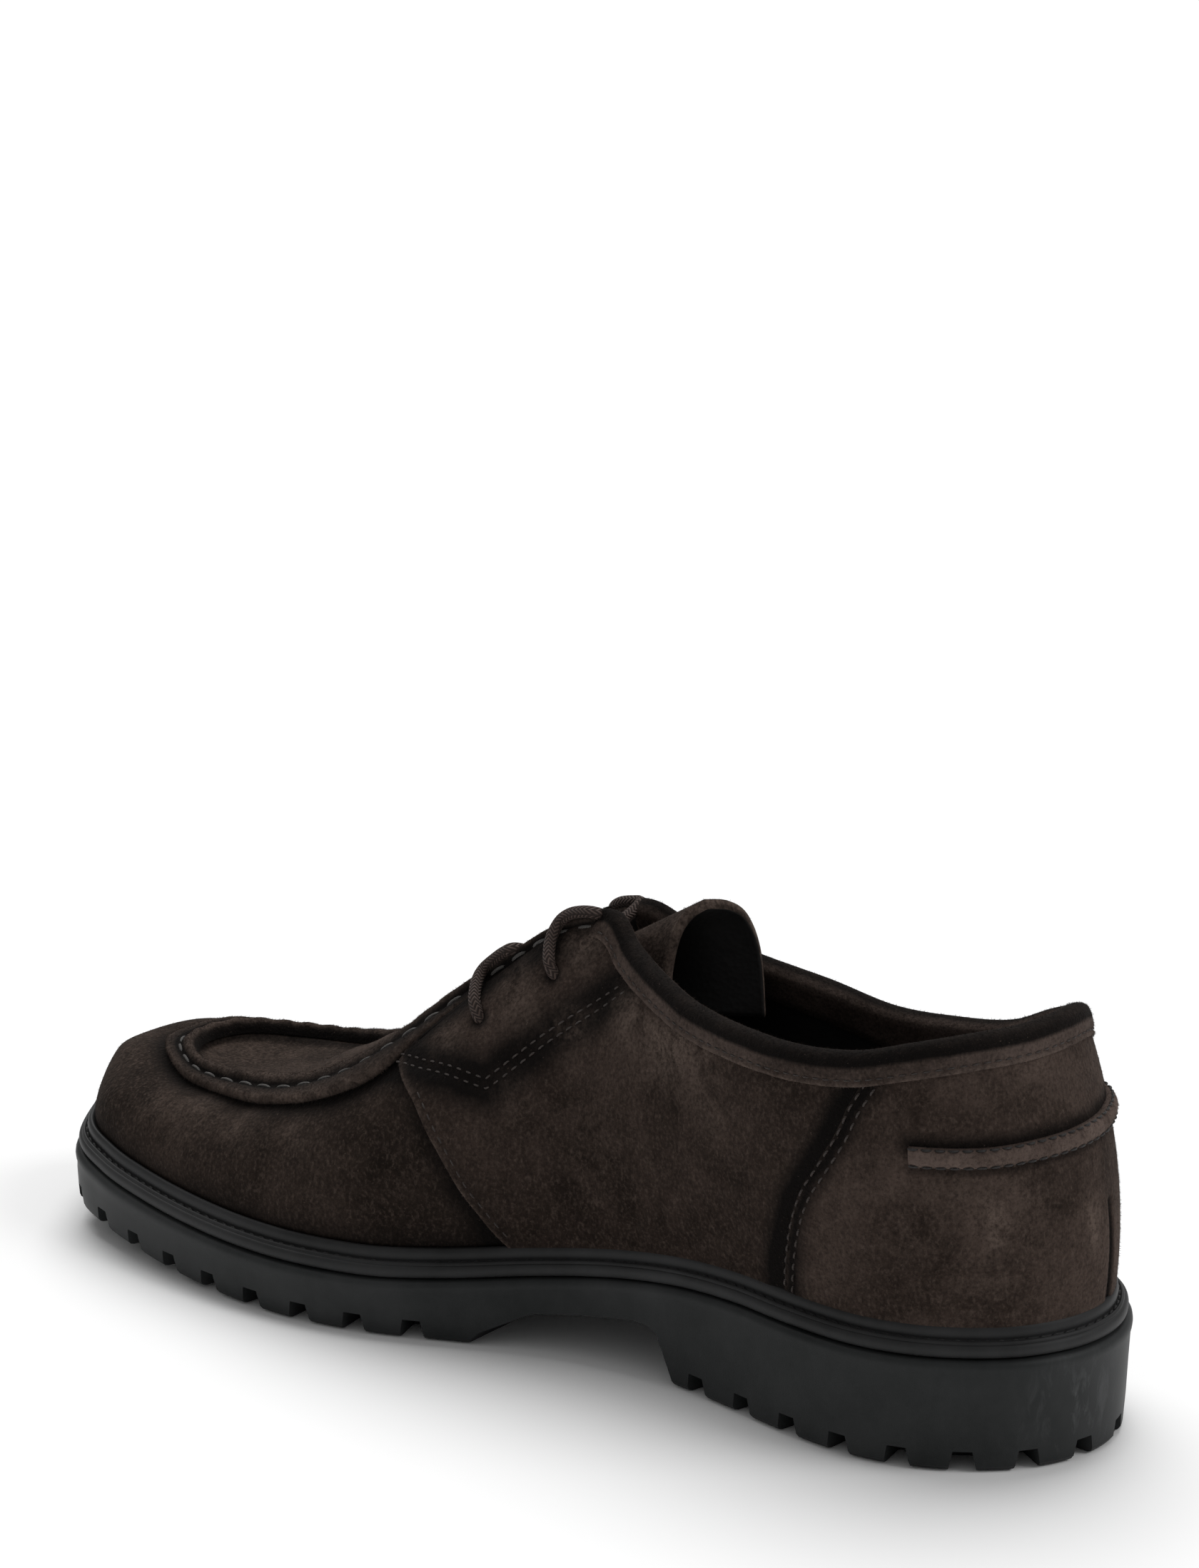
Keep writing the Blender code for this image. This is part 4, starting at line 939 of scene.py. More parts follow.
vamp_skin = mesh_piece("vamp_and_plug", place_points(np.vstack([vamp_points, plug_points])), vamp_faces,
                       [vamp_suede, lining_leather], ["upper"], "brown_suede")
tell_points(vamp_skin, "burnish_and_shade", np.clip(np.concatenate([vamp_burnish_and_shade, plug_painted_shadow]), 0, 1))
plug_rub = np.full(len(plug_points), 0.16)
tell_points(vamp_skin, "rubbed", np.concatenate([pale_spots(vamp_flat, pale_vamp), plug_rub]))
face_outwards(vamp_skin.data, 0.00003)
if min(vamp_skin.data.polygons, key=lambda face: face.center.y).normal.y > 0:
    vamp_skin.data.flip_normals()
vamp_skin.data.shade_smooth()
lined = vamp_skin.modifiers.new("lining", 'SOLIDIFY')
lined.thickness = wall_thick - 0.0003
lined.offset = -1.0
lined.material_offset = 1
lined.use_even_offset = False


fibre_half_width = 0.00006


def nap_on(piece, count, length, lean, seed, favour=None):
    """Loose suede fibres on a piece: thin blades combed back and down, as one mesh. They lean by
    an angle in degrees, and favour puts more of them where the piece is rubbed."""
    skin = piece.data
    skin.calc_loop_triangles()
    total = len(skin.vertices)
    place, normal = np.empty(total * 3, np.float32), np.empty(total * 3, np.float32)
    skin.vertices.foreach_get("co", place)
    skin.vertices.foreach_get("normal", normal)
    place, normal = place.reshape(-1, 3).astype(float), normal.reshape(-1, 3).astype(float)
    corners = np.empty(len(skin.loop_triangles) * 3, np.int32)
    skin.loop_triangles.foreach_get("vertices", corners)
    corners = corners.reshape(-1, 3)
    kept = {}
    for label in ("burnish_and_shade", "rubbed"):
        kept[label] = np.empty(total, np.float32)
        skin.attributes[label].data.foreach_get("value", kept[label])
    a, b, c = (place[corners[:, k]] for k in range(3))
    weight = np.linalg.norm(np.cross(b - a, c - a), axis=1)
    if favour:
        weight = weight * (0.25 + favour * kept["rubbed"][corners].mean(1))
    draw = np.random.default_rng(seed)
    picked = corners[draw.choice(len(corners), size=count, p=weight / weight.sum())]
    u, v = draw.random((2, count))
    over = u + v > 1
    u[over], v[over] = 1 - u[over], 1 - v[over]
    share = np.stack([1 - u - v, u, v], 1)[..., None]
    out = unit((normal[picked] * share).sum(1))
    root = (place[picked] * share).sum(1)
    foot = root - out * 0.0001
    combed = np.array((0.0, -0.5, -0.7)) + draw.normal(0, 0.55, (count, 3))
    combed = unit(combed - (combed * out).sum(1, keepdims=True) * out)
    angle = np.radians(lean + draw.normal(0, 12.0, count)).clip(0.2, 1.5)[:, None]
    reach = (length * draw.uniform(0.5, 1.5, count))[:, None]
    half = np.cross(combed, out) * fibre_half_width
    tip = root + (out * np.cos(angle) + combed * np.sin(angle)) * reach
    blades = np.stack([foot - half, foot + half, tip], 1).reshape(-1, 3)
    nap_mesh = bpy.data.meshes.new(piece.name + "_nap")
    nap_mesh.from_pydata(blades.tolist(), [], np.arange(count * 3).reshape(-1, 3).tolist())
    nap_mesh.materials.append(skin.materials[0])
    nap = bpy.data.objects.new(piece.name + "_nap", nap_mesh)
    bpy.context.scene.collection.objects.link(nap)
    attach(nap, "root")
    tone = draw.uniform(-0.05, 0.30, count)
    for label, change in (("burnish_and_shade", 0.0), ("rubbed", 1.0)):
        value = (kept[label][picked] * share[..., 0]).sum(1) + change * tone
        tell_points(nap, label, np.repeat(value.clip(0, 1), 3))
    return nap


nap_on(vamp_skin, count=34000, length=0.00055, lean=62.0, seed=11)

# Quarters
# One suede quarter each side from the raw diagonal edge on the vamp to the counter, facing and
# all. The V under the eyelets is only stitched, in a burnished trough, with no cut edge.
quarter_suede = suede_material("quarter_suede", (0.0135, 0.0092, 0.0071), (0.0460, 0.0323, 0.0266))
panel_lift = 0.0010
eyelets = ((11.45, 0.710), (10.55, 0.820))
quarter_top = ((12.60, 0.690), (12.50, 0.800), (12.10, 0.895), (11.50, 0.945), (10.90, 0.965), (10.32, 0.975),
               (9.90, 0.960), (9.40, 0.955), (8.60, 0.950), (7.60, 0.945), (6.40, 0.940), (5.20, 0.945),
               (4.40, 0.950), (3.60, 0.950))
quarter_foot = [(row, 0.0) for row in (9.22, 8.95, 8.70, 8.45, 8.20, 7.95, 7.70, 7.45, 7.10, 6.70, 6.30, 5.90,
                                       5.55, 5.15)]
quarter_troughs = (
    # line of rows and heights, reach, depth
    (((9.90, 0.74), (9.30, 0.56), (9.00, 0.38)), 0.0060, 0.00040),
    (((7.40, 0.78), (7.10, 0.60), (7.20, 0.42)), 0.0075, 0.00040),
    (((11.20, 0.70), (10.90, 0.62), (10.40, 0.58)), 0.0050, 0.00030),
    (((6.10, 0.80), (5.90, 0.62), (6.10, 0.40)), 0.0060, 0.00030),
)
pale_quarter = np.array((
    # row, height on the hide, reach, strength
    (7.40, 0.82, 0.0075, 0.90), (7.05, 0.93, 0.0060, 0.66), (9.65, 0.68, 0.0060, 0.42),
    (10.25, 0.90, 0.0060, 0.75), (8.30, 0.84, 0.0065, 0.66), (6.25, 0.67, 0.0060, 0.34),
    (11.75, 0.66, 0.0050, 0.50), (8.20, 0.40, 0.0120, 0.10), (10.00, 0.45, 0.0060, 0.20),
    (11.20, 0.80, 0.0060, 0.55), (10.70, 0.72, 0.0055, 0.40), (6.60, 0.86, 0.0070, 0.52),
))


def panel_grid(foot_line, top_line, columns, rings, front_bow, back_bow, mirrored):
    """Grid of (row, up) between two lines, bowed towards its measured front and back edges."""
    steps = np.linspace(0, len(foot_line) - 1, columns)
    low = smooth_rows(np.array(foot_line), steps, closed=False)
    high = smooth_rows(np.array(top_line), steps, closed=False)
    t = np.linspace(0, 1, rings)[:, None, None]
    grid = low[None] + (high - low)[None] * t
    s = np.linspace(0, 1, columns)
    bow = front_bow * (1 - s) ** 4 + back_bow * s**4
    grid[..., 0] += bow[None] * 4 * t[..., 0] * (1 - t[..., 0])
    if mirrored:
        grid[..., 0] = full_round - grid[..., 0]
    return grid


def hide_panel(name, grid, thick, open_back, material, nodes, marks, spots):
    """A panel laid on the hide from a (row, up) grid, with raw edges and marks pressed in it.
    Each mark is a line of points, its width and depth, and how dark and wide its burnish is."""
    point, normal, _ = hide_frame(grid[..., 0], grid[..., 1])
    rings, columns = grid.shape[:2]
    from_front = run_along(point[rings // 2])
    edge = np.minimum(from_front, from_front[-1] - from_front) if open_back else from_front
    roll = np.sqrt(np.clip(1 - (1 - np.clip(edge / 0.0009, 0, 1)) ** 2, 0, 1))
    flat = point.reshape(-1, 3)
    burnish_and_shade, pressed = np.zeros(len(flat)), np.zeros(len(flat))
    for line, width, depth, dark, dark_width in marks:
        gap = distance_to(flat, line)
        pressed += depth * near(gap, width)
        burnish_and_shade = np.maximum(burnish_and_shade, dark * near(gap, dark_width))
    lift = 0.00012 + (thick - 0.00012) * (0.45 + 0.55 * roll) - pressed.reshape(rings, columns)
    verts = list((point + normal * np.maximum(lift, 0.00010)[..., None]).reshape(-1, 3))
    faces = sheet_faces(rings, columns)
    for column in ((0, columns - 1) if open_back else (0,)):
        first = len(verts)
        verts += list(point[:, column] - normal[:, column] * 0.0004)
        faces += [(r * columns + column, (r + 1) * columns + column, first + r + 1, first + r)
                  for r in range(rings - 1)]
    extra = len(verts) - len(flat)
    raw = np.tile(near(edge, 0.0011), rings)
    piece = mesh_piece(name, place_points(verts), faces, [material], nodes, "brown_suede")
    # Painted shade: each panel is darkened towards the bottom, where less light falls from above.
    burnish_and_shade += 0.20 * ease((0.50 - grid[..., 1].ravel()) / 0.5)
    finish_skin(piece, np.concatenate([burnish_and_shade, np.zeros(extra)]),
                np.concatenate([raw * 0.55 + pale_spots(flat, spots), np.full(extra, 0.5)]))
    return piece


def beside(line, shift, lift):
    """A laid line moved sideways over the hide and lifted off it, and its normals."""
    points, normals = line
    side = unit(np.cross(normals, np.gradient(points, axis=0)))
    return place_points(points + side * shift + normals * lift), normals


brown_thread = thread_material("brown_thread", (0.040, 0.028, 0.023, 1.0), 1100.0)
# Each side's name, how its lines are turned over, and the way in from its edges.
shoe_sides = (("medial", np.array, 1.0), ("lateral", other_side, -1.0))
quarter_columns = 230
facing_stitch = (0.0028, 0.0018, 0.0005, 0.00006)
edge_stitch = (0.0030, 0.0023, 0.0005, 0.00010)
for side_name, flip, inward in shoe_sides:
    v_line = straight_on_hide(flip(facing_v))
    front_line = on_hide(flip(quarter_front))
    counter_line = on_hide(flip(counter_front))
    throat_line = on_hide(flip([(p[1], p[2]) for p in moc_lines[:6]]))
    marks = [(v_line[0], 0.0022, 0.00055, 1.0, 0.0074), (counter_line[0], 0.0025, 0.0004, 0.97, 0.0052),
             (throat_line[0], 0.0030, 0.0002, 0.97, 0.0062), (front_line[0], 0.0001, 0.0, 0.25, 0.0050)]
    for eyelet in eyelets:
        hole = hide_point(*flip([eyelet])[0])
        marks.append((np.array([hole, hole + 1e-5]), 0.0017, 0.0012, 0.97, 0.0030))
    for trough, reach, depth in quarter_troughs:
        marks.append((on_hide(flip(trough))[0], reach, depth, 0.0, 0.0010))
    quarter_grid = panel_grid(quarter_foot, quarter_top, quarter_columns, 96, -0.05, 0.27, inward < 0)
    front_rows, front_ups = flip(quarter_front)[::-1].T
    grid_rows, grid_ups = quarter_grid[:, 0].T
    shift = np.where(grid_ups <= front_ups[-1], np.interp(grid_ups, front_ups, front_rows) - grid_rows, 0.0)
    quarter_grid[..., 0] += shift[:, None] * np.linspace(1.0, 0.0, quarter_columns)[None, :] ** 3
    spots = np.hstack([flip(pale_quarter)[:, :2], pale_quarter[:, 2:]])
    quarter = hide_panel("quarter_panel_" + side_name, quarter_grid, panel_lift, False, quarter_suede,
                         ["quarter_" + side_name, "eyestay_" + side_name], marks, spots)
    nap_on(quarter, count=20000, length=0.00055, lean=62.0, seed=21 if inward > 0 else 22, favour=2.5)
    for number, shift in enumerate((-0.0011, 0.0011), 1):
        stitch_row("facing_stitches_%s_%d" % (side_name, number), *beside(v_line, shift, panel_lift - 0.0005),
                   facing_stitch, brown_thread)
    points, normals = beside(front_line, 0.0022 * inward, panel_lift - 0.0001)
    stitch_row("quarter_edge_stitches_" + side_name, points[12:], normals[12:], edge_stitch, brown_thread)

# Counter
# A suede heel counter over a stiffener, cupping the heel from one counter seam to the other. Two
# close rows of stitches hold its front edge, and its middle is split low down at the heel's back.
counter_suede = suede_material("counter_suede", (0.0215, 0.0148, 0.0118), (0.0720, 0.0515, 0.0428))
counter_thick = 0.0010
seam_steps = np.linspace(len(counter_front) - 1, 0, 72)
seam_rows, seam_ups = smooth_rows(np.array(counter_front), seam_steps, closed=False).T
counter_ups = np.linspace(0.0, 0.950, 72)[:, None]
counter_rows = np.interp(counter_ups, seam_ups, seam_rows) * np.linspace(1.0, -1.0, 150)
counter_grid = np.stack(np.broadcast_arrays(counter_rows, counter_ups), -1)
counter_marks = [(on_hide(flip(counter_front))[0], 0.0040, 0.0002, 0.96, 0.0056) for _, flip, _ in shoe_sides]
heel_split = on_hide(((-0.62, 0.36), (-0.60, 0.24), (-0.52, 0.12), (-0.45, 0.01)))
counter_marks.append((heel_split[0], 0.0010, 0.0010, 0.95, 0.0014))
strip_row, strip_up, strip_wide = 3.08, 0.625, 0.0046


def level_round_heel(offset, reach=strip_row):
    """(row, up) line level with the heel strip, moved up or down by offset."""
    line = []
    level = hide_point(0.0, strip_up)[2] + offset
    for row in np.linspace(reach, -reach, 41):
        shares = np.linspace(0.2, 0.95, 80)
        line.append((row, float(np.interp(level, hide_point(row, shares)[:, 2], shares))))
    return line


counter_marks.append((on_hide(level_round_heel(0.0026))[0], 0.0016, 0.0002, 0.75, 0.0030))
counter_marks.append((on_hide(level_round_heel(-0.0026))[0], 0.0012, 0.0002, 0.55, 0.0016))
pale_counter = (
    # row, height on the hide, reach, strength
    (2.05, 0.46, 0.0024, 0.60), (2.00, 0.40, 0.0028, 0.85), (1.96, 0.34, 0.0024, 0.85),
    (1.50, 0.46, 0.0060, 0.24), (0.06, 0.38, 0.0028, 0.60), (0.05, 0.32, 0.0028, 0.90),
    (0.10, 0.26, 0.0024, 0.70), (2.60, 0.52, 0.0060, 0.20), (2.20, 0.20, 0.0060, 0.16),
    (3.10, 0.36, 0.0060, 0.16), (0.90, 0.90, 0.0080, 0.18), (-1.50, 0.40, 0.0080, 0.22),
)
counter = hide_panel("heel_counter", counter_grid, counter_thick, True, counter_suede, ["counter"],
                     counter_marks, pale_counter)
nap_on(counter, count=22000, length=0.00055, lean=60.0, seed=31, favour=1.5)
counter_stitch = (0.0031, 0.0022, 0.00055, 0.00014)
for side_name, flip, inward in shoe_sides:
    for number, shift in enumerate((0.0012, 0.0036), 1):
        placed = beside(on_hide(flip(counter_front)), shift * inward, counter_thick - 0.0001)
        stitch_row("counter_stitches_%s_%d" % (side_name, number), *placed, counter_stitch, brown_thread)

# Heel strip
# A narrow folded suede strip sewn level round the back of the heel, top and bottom, with a
# squared end on each side. Its raised fold is rubbed paler than the counter.
strip_suede = suede_material("strip_suede", (0.052, 0.037, 0.031), (0.145, 0.108, 0.094))
strip_points, strip_rub, strip_dark = [], [], []
strip_offsets = np.linspace(-0.5, 0.5, 13)
strip_lines = [on_hide(level_round_heel(offset * strip_wide), spacing=0.0009) for offset in strip_offsets]
strip_length = min(len(line[0]) for line in strip_lines)
from_end = np.minimum(np.arange(strip_length), np.arange(strip_length)[::-1])
ends = np.clip(from_end / 1.5, 0, 1)
for offset, (points, normals) in zip(strip_offsets, strip_lines):
    pick = np.linspace(0, len(points) - 1, strip_length).astype(int)
    fold = 0.0009 + 0.0011 * math.cos(offset * 2.4) ** 1.5
    dip = 0.0004 * near(abs(offset) - 0.40, 0.07)
    height = counter_thick + (fold - dip) * (0.5 + 0.5 * ends)
    if abs(offset) == 0.5:
        height = np.full(strip_length, counter_thick * 0.6)
    strip_points += list(points[pick] + normals[pick] * height[:, None])
    strip_rub += list(0.30 * math.cos(offset * 2.6) ** 2 + 0.3 * (1 - ends))
    strip_dark += [0.55 * near(offset - 0.5, 0.10)] * strip_length
strip_faces = sheet_faces(len(strip_offsets), strip_length)
for column, end_normal in ((0, strip_lines[0][1][0]), (strip_length - 1, strip_lines[0][1][-1])):
    first = len(strip_points)
    edge_ids = [r * strip_length + column for r in range(len(strip_offsets))]
    strip_points += [strip_points[i] - end_normal * 0.0016 for i in edge_ids]
    strip_rub += [0.6] * len(edge_ids)
    strip_dark += [0.0] * len(edge_ids)
    strip_faces += [(edge_ids[k], edge_ids[k + 1], first + k + 1, first + k)
                    for k in range(len(edge_ids) - 1)]
heel_fold = mesh_piece("heel_strip_fold", place_points(strip_points), strip_faces, [strip_suede],
                       ["heel_strip"], "brown_suede")
finish_skin(heel_fold, strip_dark, strip_rub)
nap_on(heel_fold, count=3500, length=0.00050, lean=55.0, seed=41)
dark_thread = thread_material("dark_thread", (0.012, 0.009, 0.008, 1.0), 1100.0)
strip_stitch = (0.0030, 0.0023, 0.0006, 0.00010)
for name, offset in (("upper", 0.40), ("lower", -0.40)):
    points, normals = on_hide(level_round_heel(offset * strip_wide), lift=counter_thick + 0.0013)
    stitch_row("strip_stitches_" + name, place_points(points), normals, strip_stitch, dark_thread)

# Collar binding
# A suede strip rolled over the collar's edge, burnished black on top, with a paler lower edge
# and one row of stitches. It runs from one facing's top corner round the heel to the other.
binding_suede = suede_material("binding_suede", (0.0290, 0.0210, 0.0175), (0.090, 0.067, 0.058))
binding_deep = 0.0060


def height_from_edge(row, distance):
    """Height on the hide at a distance down its face from the open edge."""
    shares = np.linspace(0.0, 1.0, 121)
    line = hide_point(np.atleast_1d(row)[:, None], shares[None, :])
    steps = np.linalg.norm(np.diff(line, axis=1), axis=2)
    left = np.concatenate([np.cumsum(steps[:, ::-1], axis=1)[:, ::-1], np.zeros((len(line), 1))], 1)
    return np.array([np.interp(-distance, -run, shares) for run in left])


def capped_skin(name, lines, material, node):
    """A skin through lines of points, closed at both ends, with each line's burnish and painted shade, and
    its rubbing.
    """
    count = len(lines[0][0])
    faces = sheet_faces(len(lines), count)
    faces += [tuple(a * count + end for a in range(len(lines))) for end in (0, count - 1)]
    points = place_points(np.vstack([line[0] for line in lines]))
    piece = mesh_piece(name, points, faces, [material], [node], "burnished_suede")
    finish_skin(piece, *(np.concatenate([line[k] * np.ones(count) for line in lines]) for k in (1, 2)))
    return piece


binding_rows = np.arange(-10.28, 10.281, 0.08)
binding_lines = []
edge_point, edge_normal, edge_rising = hide_frame(binding_rows, 1.0)
front_taper = 0.55 + 0.45 * ease((10.32 - np.abs(binding_rows)) / 0.55)
lip_wave = 0.00012 * np.sin(binding_rows * 9.0) + 0.00008 * np.sin(binding_rows * 23.0 + 1.0)
stitch_share = 0.76
for share in np.linspace(1.0, 0.10, 9):
    point, normal, _ = hide_frame(binding_rows, height_from_edge(binding_rows, binding_deep * share))
    if share > 0.99:
        binding_lines.append((point + normal * 0.0007, 0.0, 0.15))
        binding_lines.append((point + normal * ((0.0014 + lip_wave) * front_taper)[:, None], 0.0, 0.55))
        continue
    puff = 0.0017 + 0.0006 * math.sin(min(1.0, (1 - share) * 1.15) * math.pi * 0.5)
    height = (puff - 0.00050 * near(share - stitch_share, 0.07)) * front_taper
    binding_lines.append((point + normal * height[:, None], 0.97 * ease((0.47 - share) / 0.27),
                          0.34 * near(share - 0.88, 0.10)))
outer_puff, inner_puff = 0.0022, 0.0009
roll_radius = (wall_thick + outer_puff + inner_puff) / 2
for angle in np.linspace(0.1, 0.9, 9) * math.pi:
    over = math.cos(angle) * roll_radius + outer_puff - roll_radius
    reach = edge_normal * over + edge_rising * math.sin(angle) * 0.0021
    binding_lines.append((edge_point + reach, 0.95 - 0.75 * ease((angle - 1.3) / 1.2), 0.05))
for share in np.linspace(0.15, 1.45, 7):
    point, normal, _ = hide_frame(binding_rows, height_from_edge(binding_rows, binding_deep * share))
    inside = point - normal * (wall_thick + inner_puff * (1 - 0.4 * share))
    binding_lines.append((inside, 0.10 + 0.5 * (share > 1.2), 0.05))
collar_roll = capped_skin("collar_binding_roll", binding_lines, binding_suede, "collar_binding")
nap_on(collar_roll, count=26000, length=0.00055, lean=55.0, seed=51)
stitch_ups = height_from_edge(binding_rows, binding_deep * stitch_share)
stitch_at, stitch_out, _ = hide_frame(binding_rows, stitch_ups)
collar_stitch = (0.0027, 0.0019, 0.00045, 0.00010)
stitch_row("collar_stitches", place_points(stitch_at + stitch_out * 0.0016), stitch_out, collar_stitch,
           brown_thread)

# Tongue
# A stiff arched suede tongue, lined in black, sewn under the plug and standing over the collar.
# Its top edge is cut square and leans back on the outer side.
tongue_suede = suede_material("tongue_suede", (0.0150, 0.0105, 0.0085), (0.050, 0.036, 0.030))
tongue_rows = np.array((
    # along, crest, inner half, outer half, drop
    (0.6150, 0.554, 0.130, 0.130, 0.120), (0.5790, 0.632, 0.142, 0.138, 0.145),
    (0.5300, 0.715, 0.152, 0.130, 0.190), (0.4735, 0.840, 0.142, 0.105, 0.200),
    (0.4340, 0.912, 0.112, 0.078, 0.200), (0.3980, 0.985, 0.094, 0.092, 0.240),
    (0.3680, 1.046, 0.112, 0.160, 0.290),
))
tongue_arch = np.array(((0.0, 0.0), (0.38, 0.05), (0.70, 0.19), (0.92, 0.50), (1.0, 1.0)))
arch_steps = np.linspace(0, 1, 200)
arch_curve = smooth_rows(tongue_arch, arch_steps * (len(tongue_arch) - 1), closed=False)
tongue_thick, tongue_skew, tongue_middle = 0.0024, 0.30, 0.006
tongue_points, tongue_painted_shade, tongue_rub = [], [], []
tongue_across = np.linspace(-1, 1, 61)
tongue_along = np.linspace(0.0, 1.0, 70)
for t in tongue_along:
    at, crest, inner, outer, drop = smooth_rows(tongue_rows, t * (len(tongue_rows) - 1), closed=False)
    for across in tongue_across:
        share, down = (float(np.interp(abs(across), arch_steps, column)) for column in arch_curve.T)
        sideways = math.copysign(share, across) * (inner if across < 0 else outer) * ball_width
        tongue_points.append((tongue_middle * ball_width + sideways,
                              at * shoe_length - tongue_skew * sideways * t**2,
                              ball_rib + shelf + crest * upper_rise - drop * down * ball_width))
        # Painted shade: the tongue is darkened across its middle, where it lies deep in the throat.
        tongue_painted_shade.append(0.15 * near(t - 0.55, 0.20))
        tongue_rub.append(0.10 + 0.45 * near(1 - t, 0.030) + 0.35 * near(1 - abs(across), 0.05))
tongue_faces = sheet_faces(len(tongue_along), len(tongue_across))
arched_tongue = mesh_piece("arched_tongue", place_points(tongue_points), tongue_faces,
                           [tongue_suede, lining_leather], ["tongue"], "brown_suede")
tell_points(arched_tongue, "burnish_and_shade", tongue_painted_shade)
tell_points(arched_tongue, "rubbed", tongue_rub)
middle_face = len(tongue_across) * 30 + 30
if arched_tongue.data.polygons[middle_face].normal.z < 0:
    arched_tongue.data.flip_normals()
tongue_body = arched_tongue.modifiers.new("tongue_body", 'SOLIDIFY')
tongue_body.thickness = tongue_thick
tongue_body.offset = -1.0
tongue_body.material_offset = 1
nap_on(arched_tongue, count=7000, length=0.00060, lean=50.0, seed=61, favour=3.0)

# Raised moccasin seam
# The vamp's edge is turned up and sewn to the plug by hand-stitch: a raw ledge outside, a dark
# groove with thick grey stitches, and a rolled ridge inside that drops to the plug.
seam_suede = suede_material("seam_suede", (0.0130, 0.0095, 0.0080), (0.042, 0.031, 0.026))
seam_places = np.linspace(0.0, 2.0, 761)
seam_tall, seam_tall_top = 0.0034, 0.0019
seam_profile = (
    # share from the plug's edge to the cut edge, height, burnish and painted shade, rubbed
    # The first rows, at the plug's edge, are near black as a painted shadow under the ridge.
    (-0.10, 0.02, 0.95, 0.0), (-0.04, 0.35, 0.90, 0.0), (0.03, 0.70, 0.70, 0.05), (0.11, 0.92, 0.22, 0.22),
    (0.20, 1.00, 0.10, 0.30), (0.29, 0.95, 0.16, 0.26), (0.36, 0.75, 0.40, 0.12), (0.42, 0.45, 0.85, 0.0),
    (0.48, 0.33, 1.00, 0.0), (0.55, 0.38, 1.00, 0.0), (0.62, 0.50, 0.90, 0.0), (0.72, 0.56, 0.55, 0.05),
    (0.84, 0.57, 0.35, 0.10), (0.93, 0.55, 0.20, 0.30), (0.98, 0.46, 0.10, 0.60), (1.00, 0.25, 0.10, 0.55),
    (1.005, -0.06, 0.60, 0.10),
)
plug_row, cut_row, cut_up = np.array([moc_place(p) for p in seam_places]).T


def across_seam(share):
    """Frame of the hide at a share of the way from the plug's edge to the cut edge."""
    return hide_frame(plug_row + (cut_row - plug_row) * share, 1.0 + (cut_up - 1.0) * share)


near_toe = np.minimum(plug_row, full_round - plug_row)
full_height = ease((near_toe - 12.2) / 2.2)
outer_fade = 0.25 + 0.75 * ease((near_toe - 12.0) / 1.2)
tall = seam_tall_top + (seam_tall - seam_tall_top) * full_height
groove_mid, groove_normal, _ = across_seam(0.50)
groove_run = run_along(groove_mid)
moc_stitch = (0.0070, 0.0053, 0.00088, 0.00018)
pinch = 0.5 - 0.5 * np.cos(groove_run / moc_stitch[0] * math.tau)
ragged = (np.sin(groove_run * 900.0) * 0.35 + np.sin(groove_run * 2330.0 + 1.3) * 0.3
          + np.sin(groove_run * 4100.0) * 0.2)
seam_lines = []
for share, height, dark, rub in seam_profile:
    point, normal, rising = across_seam(max(share, 0.0))
    lift = tall * height
    if share < 0:
        point = point + rising * (-share) * 0.010
    elif share <= 0.36:
        lift = lift * (1.0 - 0.10 * pinch * full_height)
    elif share > 0.9:
        lift = lift + ragged * 0.00008
        if share <= 1.0:
            point = point - rising * (ragged * 0.00022)[:, None]
    if share > 0.6:
        lift = lift * outer_fade
    seam_lines.append((point + normal * lift[:, None], dark + 0.30 * (1 - full_height),
                       rub * (0.6 + 0.4 * full_height)))
moc_seam = capped_skin("moc_seam", seam_lines, seam_suede, "raised_seam")
nap_on(moc_seam, count=32000, length=0.00050, lean=55.0, seed=71, favour=5.0)
grey_thread = thread_material("grey_thread", (0.088, 0.082, 0.076, 1.0), 1400.0)
stitch_line = place_points(groove_mid + groove_normal * (tall * 0.36)[:, None])
stitch_row("moc_hand_stitches", stitch_line, groove_normal, moc_stitch, grey_thread, sides=8)

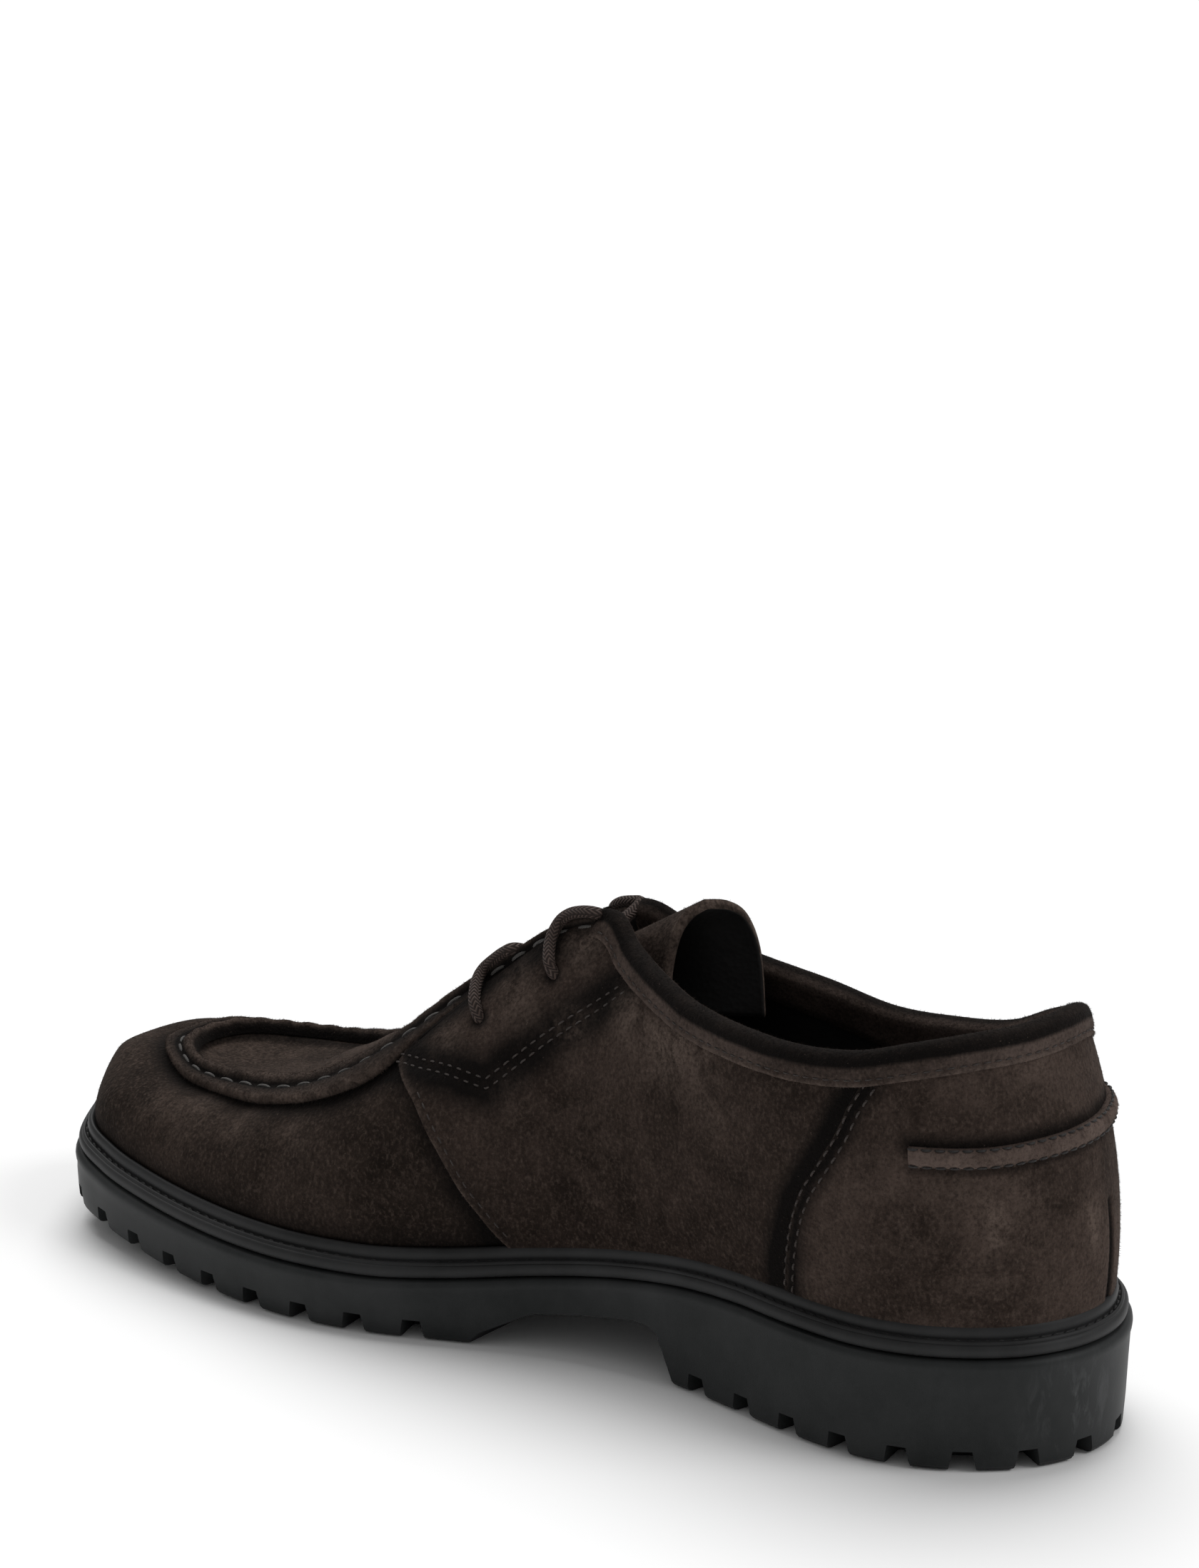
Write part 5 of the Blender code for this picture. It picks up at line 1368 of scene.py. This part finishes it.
# Laces
# One round waxed cord, braided brown, led through four pinholes in two bars over the tongue. Its
# ends are tucked away inside the facings.
def braided_cord(group, start, coords):
    """A waxed braid: a herringbone of plies from the run along the cord and the turn round it."""
    turned = arithmetic(group, 'PINGPONG', point_value(group, "lace_turn"), math.pi / 4)
    plies = plus(group, times(group, point_value(group, "lace_run"), 6200.0), times(group, turned, 9.0))
    weave = arithmetic(group, 'SINE', plies, 0.0)
    # Painted shade and painted highlight: the plies are darker in their dips and lighter on their crests,
    # following the weave.
    colour = blend_colour(group, ramp(group, weave, -0.5, 0.6), (0.024, 0.0165, 0.0140, 1.0),
                          (0.082, 0.057, 0.048, 1.0))
    return colour, ramp(group, weave, -1.0, 1.0, 0.85, 0.60), weave


braid = effect_material("waxed_braid", effect_group("braided_cord", braided_cord), 0.8, 0.0003,
                        {"Specular_IOR_Level": 0.22})

lace_thick, lace_sides = 0.0029, 20
# The cord lies closer to the far facing than to the near one, and sags between the two.
far_press, middle_sag = 0.40, 0.0030
lace_bars = (
    # row, height on the hide, height of the cord's middle over it
    ((11.50, 0.715, -0.0034), (11.50, 0.715, -0.0004), (11.74, 0.772, 0.0022), (12.18, 0.875, 0.0026),
     (12.50, 0.965, 0.0024), (12.45, 1.0, 0.0023), (12.25, 1.0, 0.0024), (12.08, 1.0, 0.0016)),
    ((10.54, 0.820, -0.0034), (10.54, 0.820, -0.0004), (10.66, 0.850, 0.0022), (10.92, 0.920, 0.0026),
     (11.02, 0.980, 0.0029), (10.88, 1.0, 0.0033), (10.60, 1.0, 0.0034), (10.34, 1.0, 0.0018)),
)
for number, lace_path in enumerate(lace_bars, 1):
    halves = []
    for far_half in (False, True):
        half = []
        for row, up, height in lace_path:
            point, normal, _ = hide_frame(full_round - row if far_half else row, up)
            half.append(point + normal * height * (far_press if far_half and up > 0.91 else 1.0))
        halves.append(half)
    middle = (halves[0][-1] + halves[1][-1]) / 2 - np.array((0.0, 0.0, middle_sag))
    route = np.array(halves[0] + [middle] + halves[1][::-1])
    fine = smooth_rows(route, np.linspace(0, len(route) - 1, 800), closed=False)
    run = run_along(fine)
    at = np.linspace(0, run[-1], int(run[-1] / 0.0007))
    spine = read_along(at, run, fine)
    ahead = unit(np.gradient(spine, axis=0))
    side = unit(np.cross(ahead, np.array((0.0, 0.0, 1.0))))
    points, faces = tube(spine, side, np.cross(side, ahead), lace_thick / 2, lace_sides)
    bar = mesh_piece("lace_over_throat_%d" % number, place_points(points), faces, [braid],
                     ["lace_bar_%d" % number], "waxed_lace")
    tell_points(bar, "lace_run", np.repeat(at, lace_sides))
    tell_points(bar, "lace_turn", np.tile(np.arange(lace_sides) * math.tau / lace_sides, len(spine)))
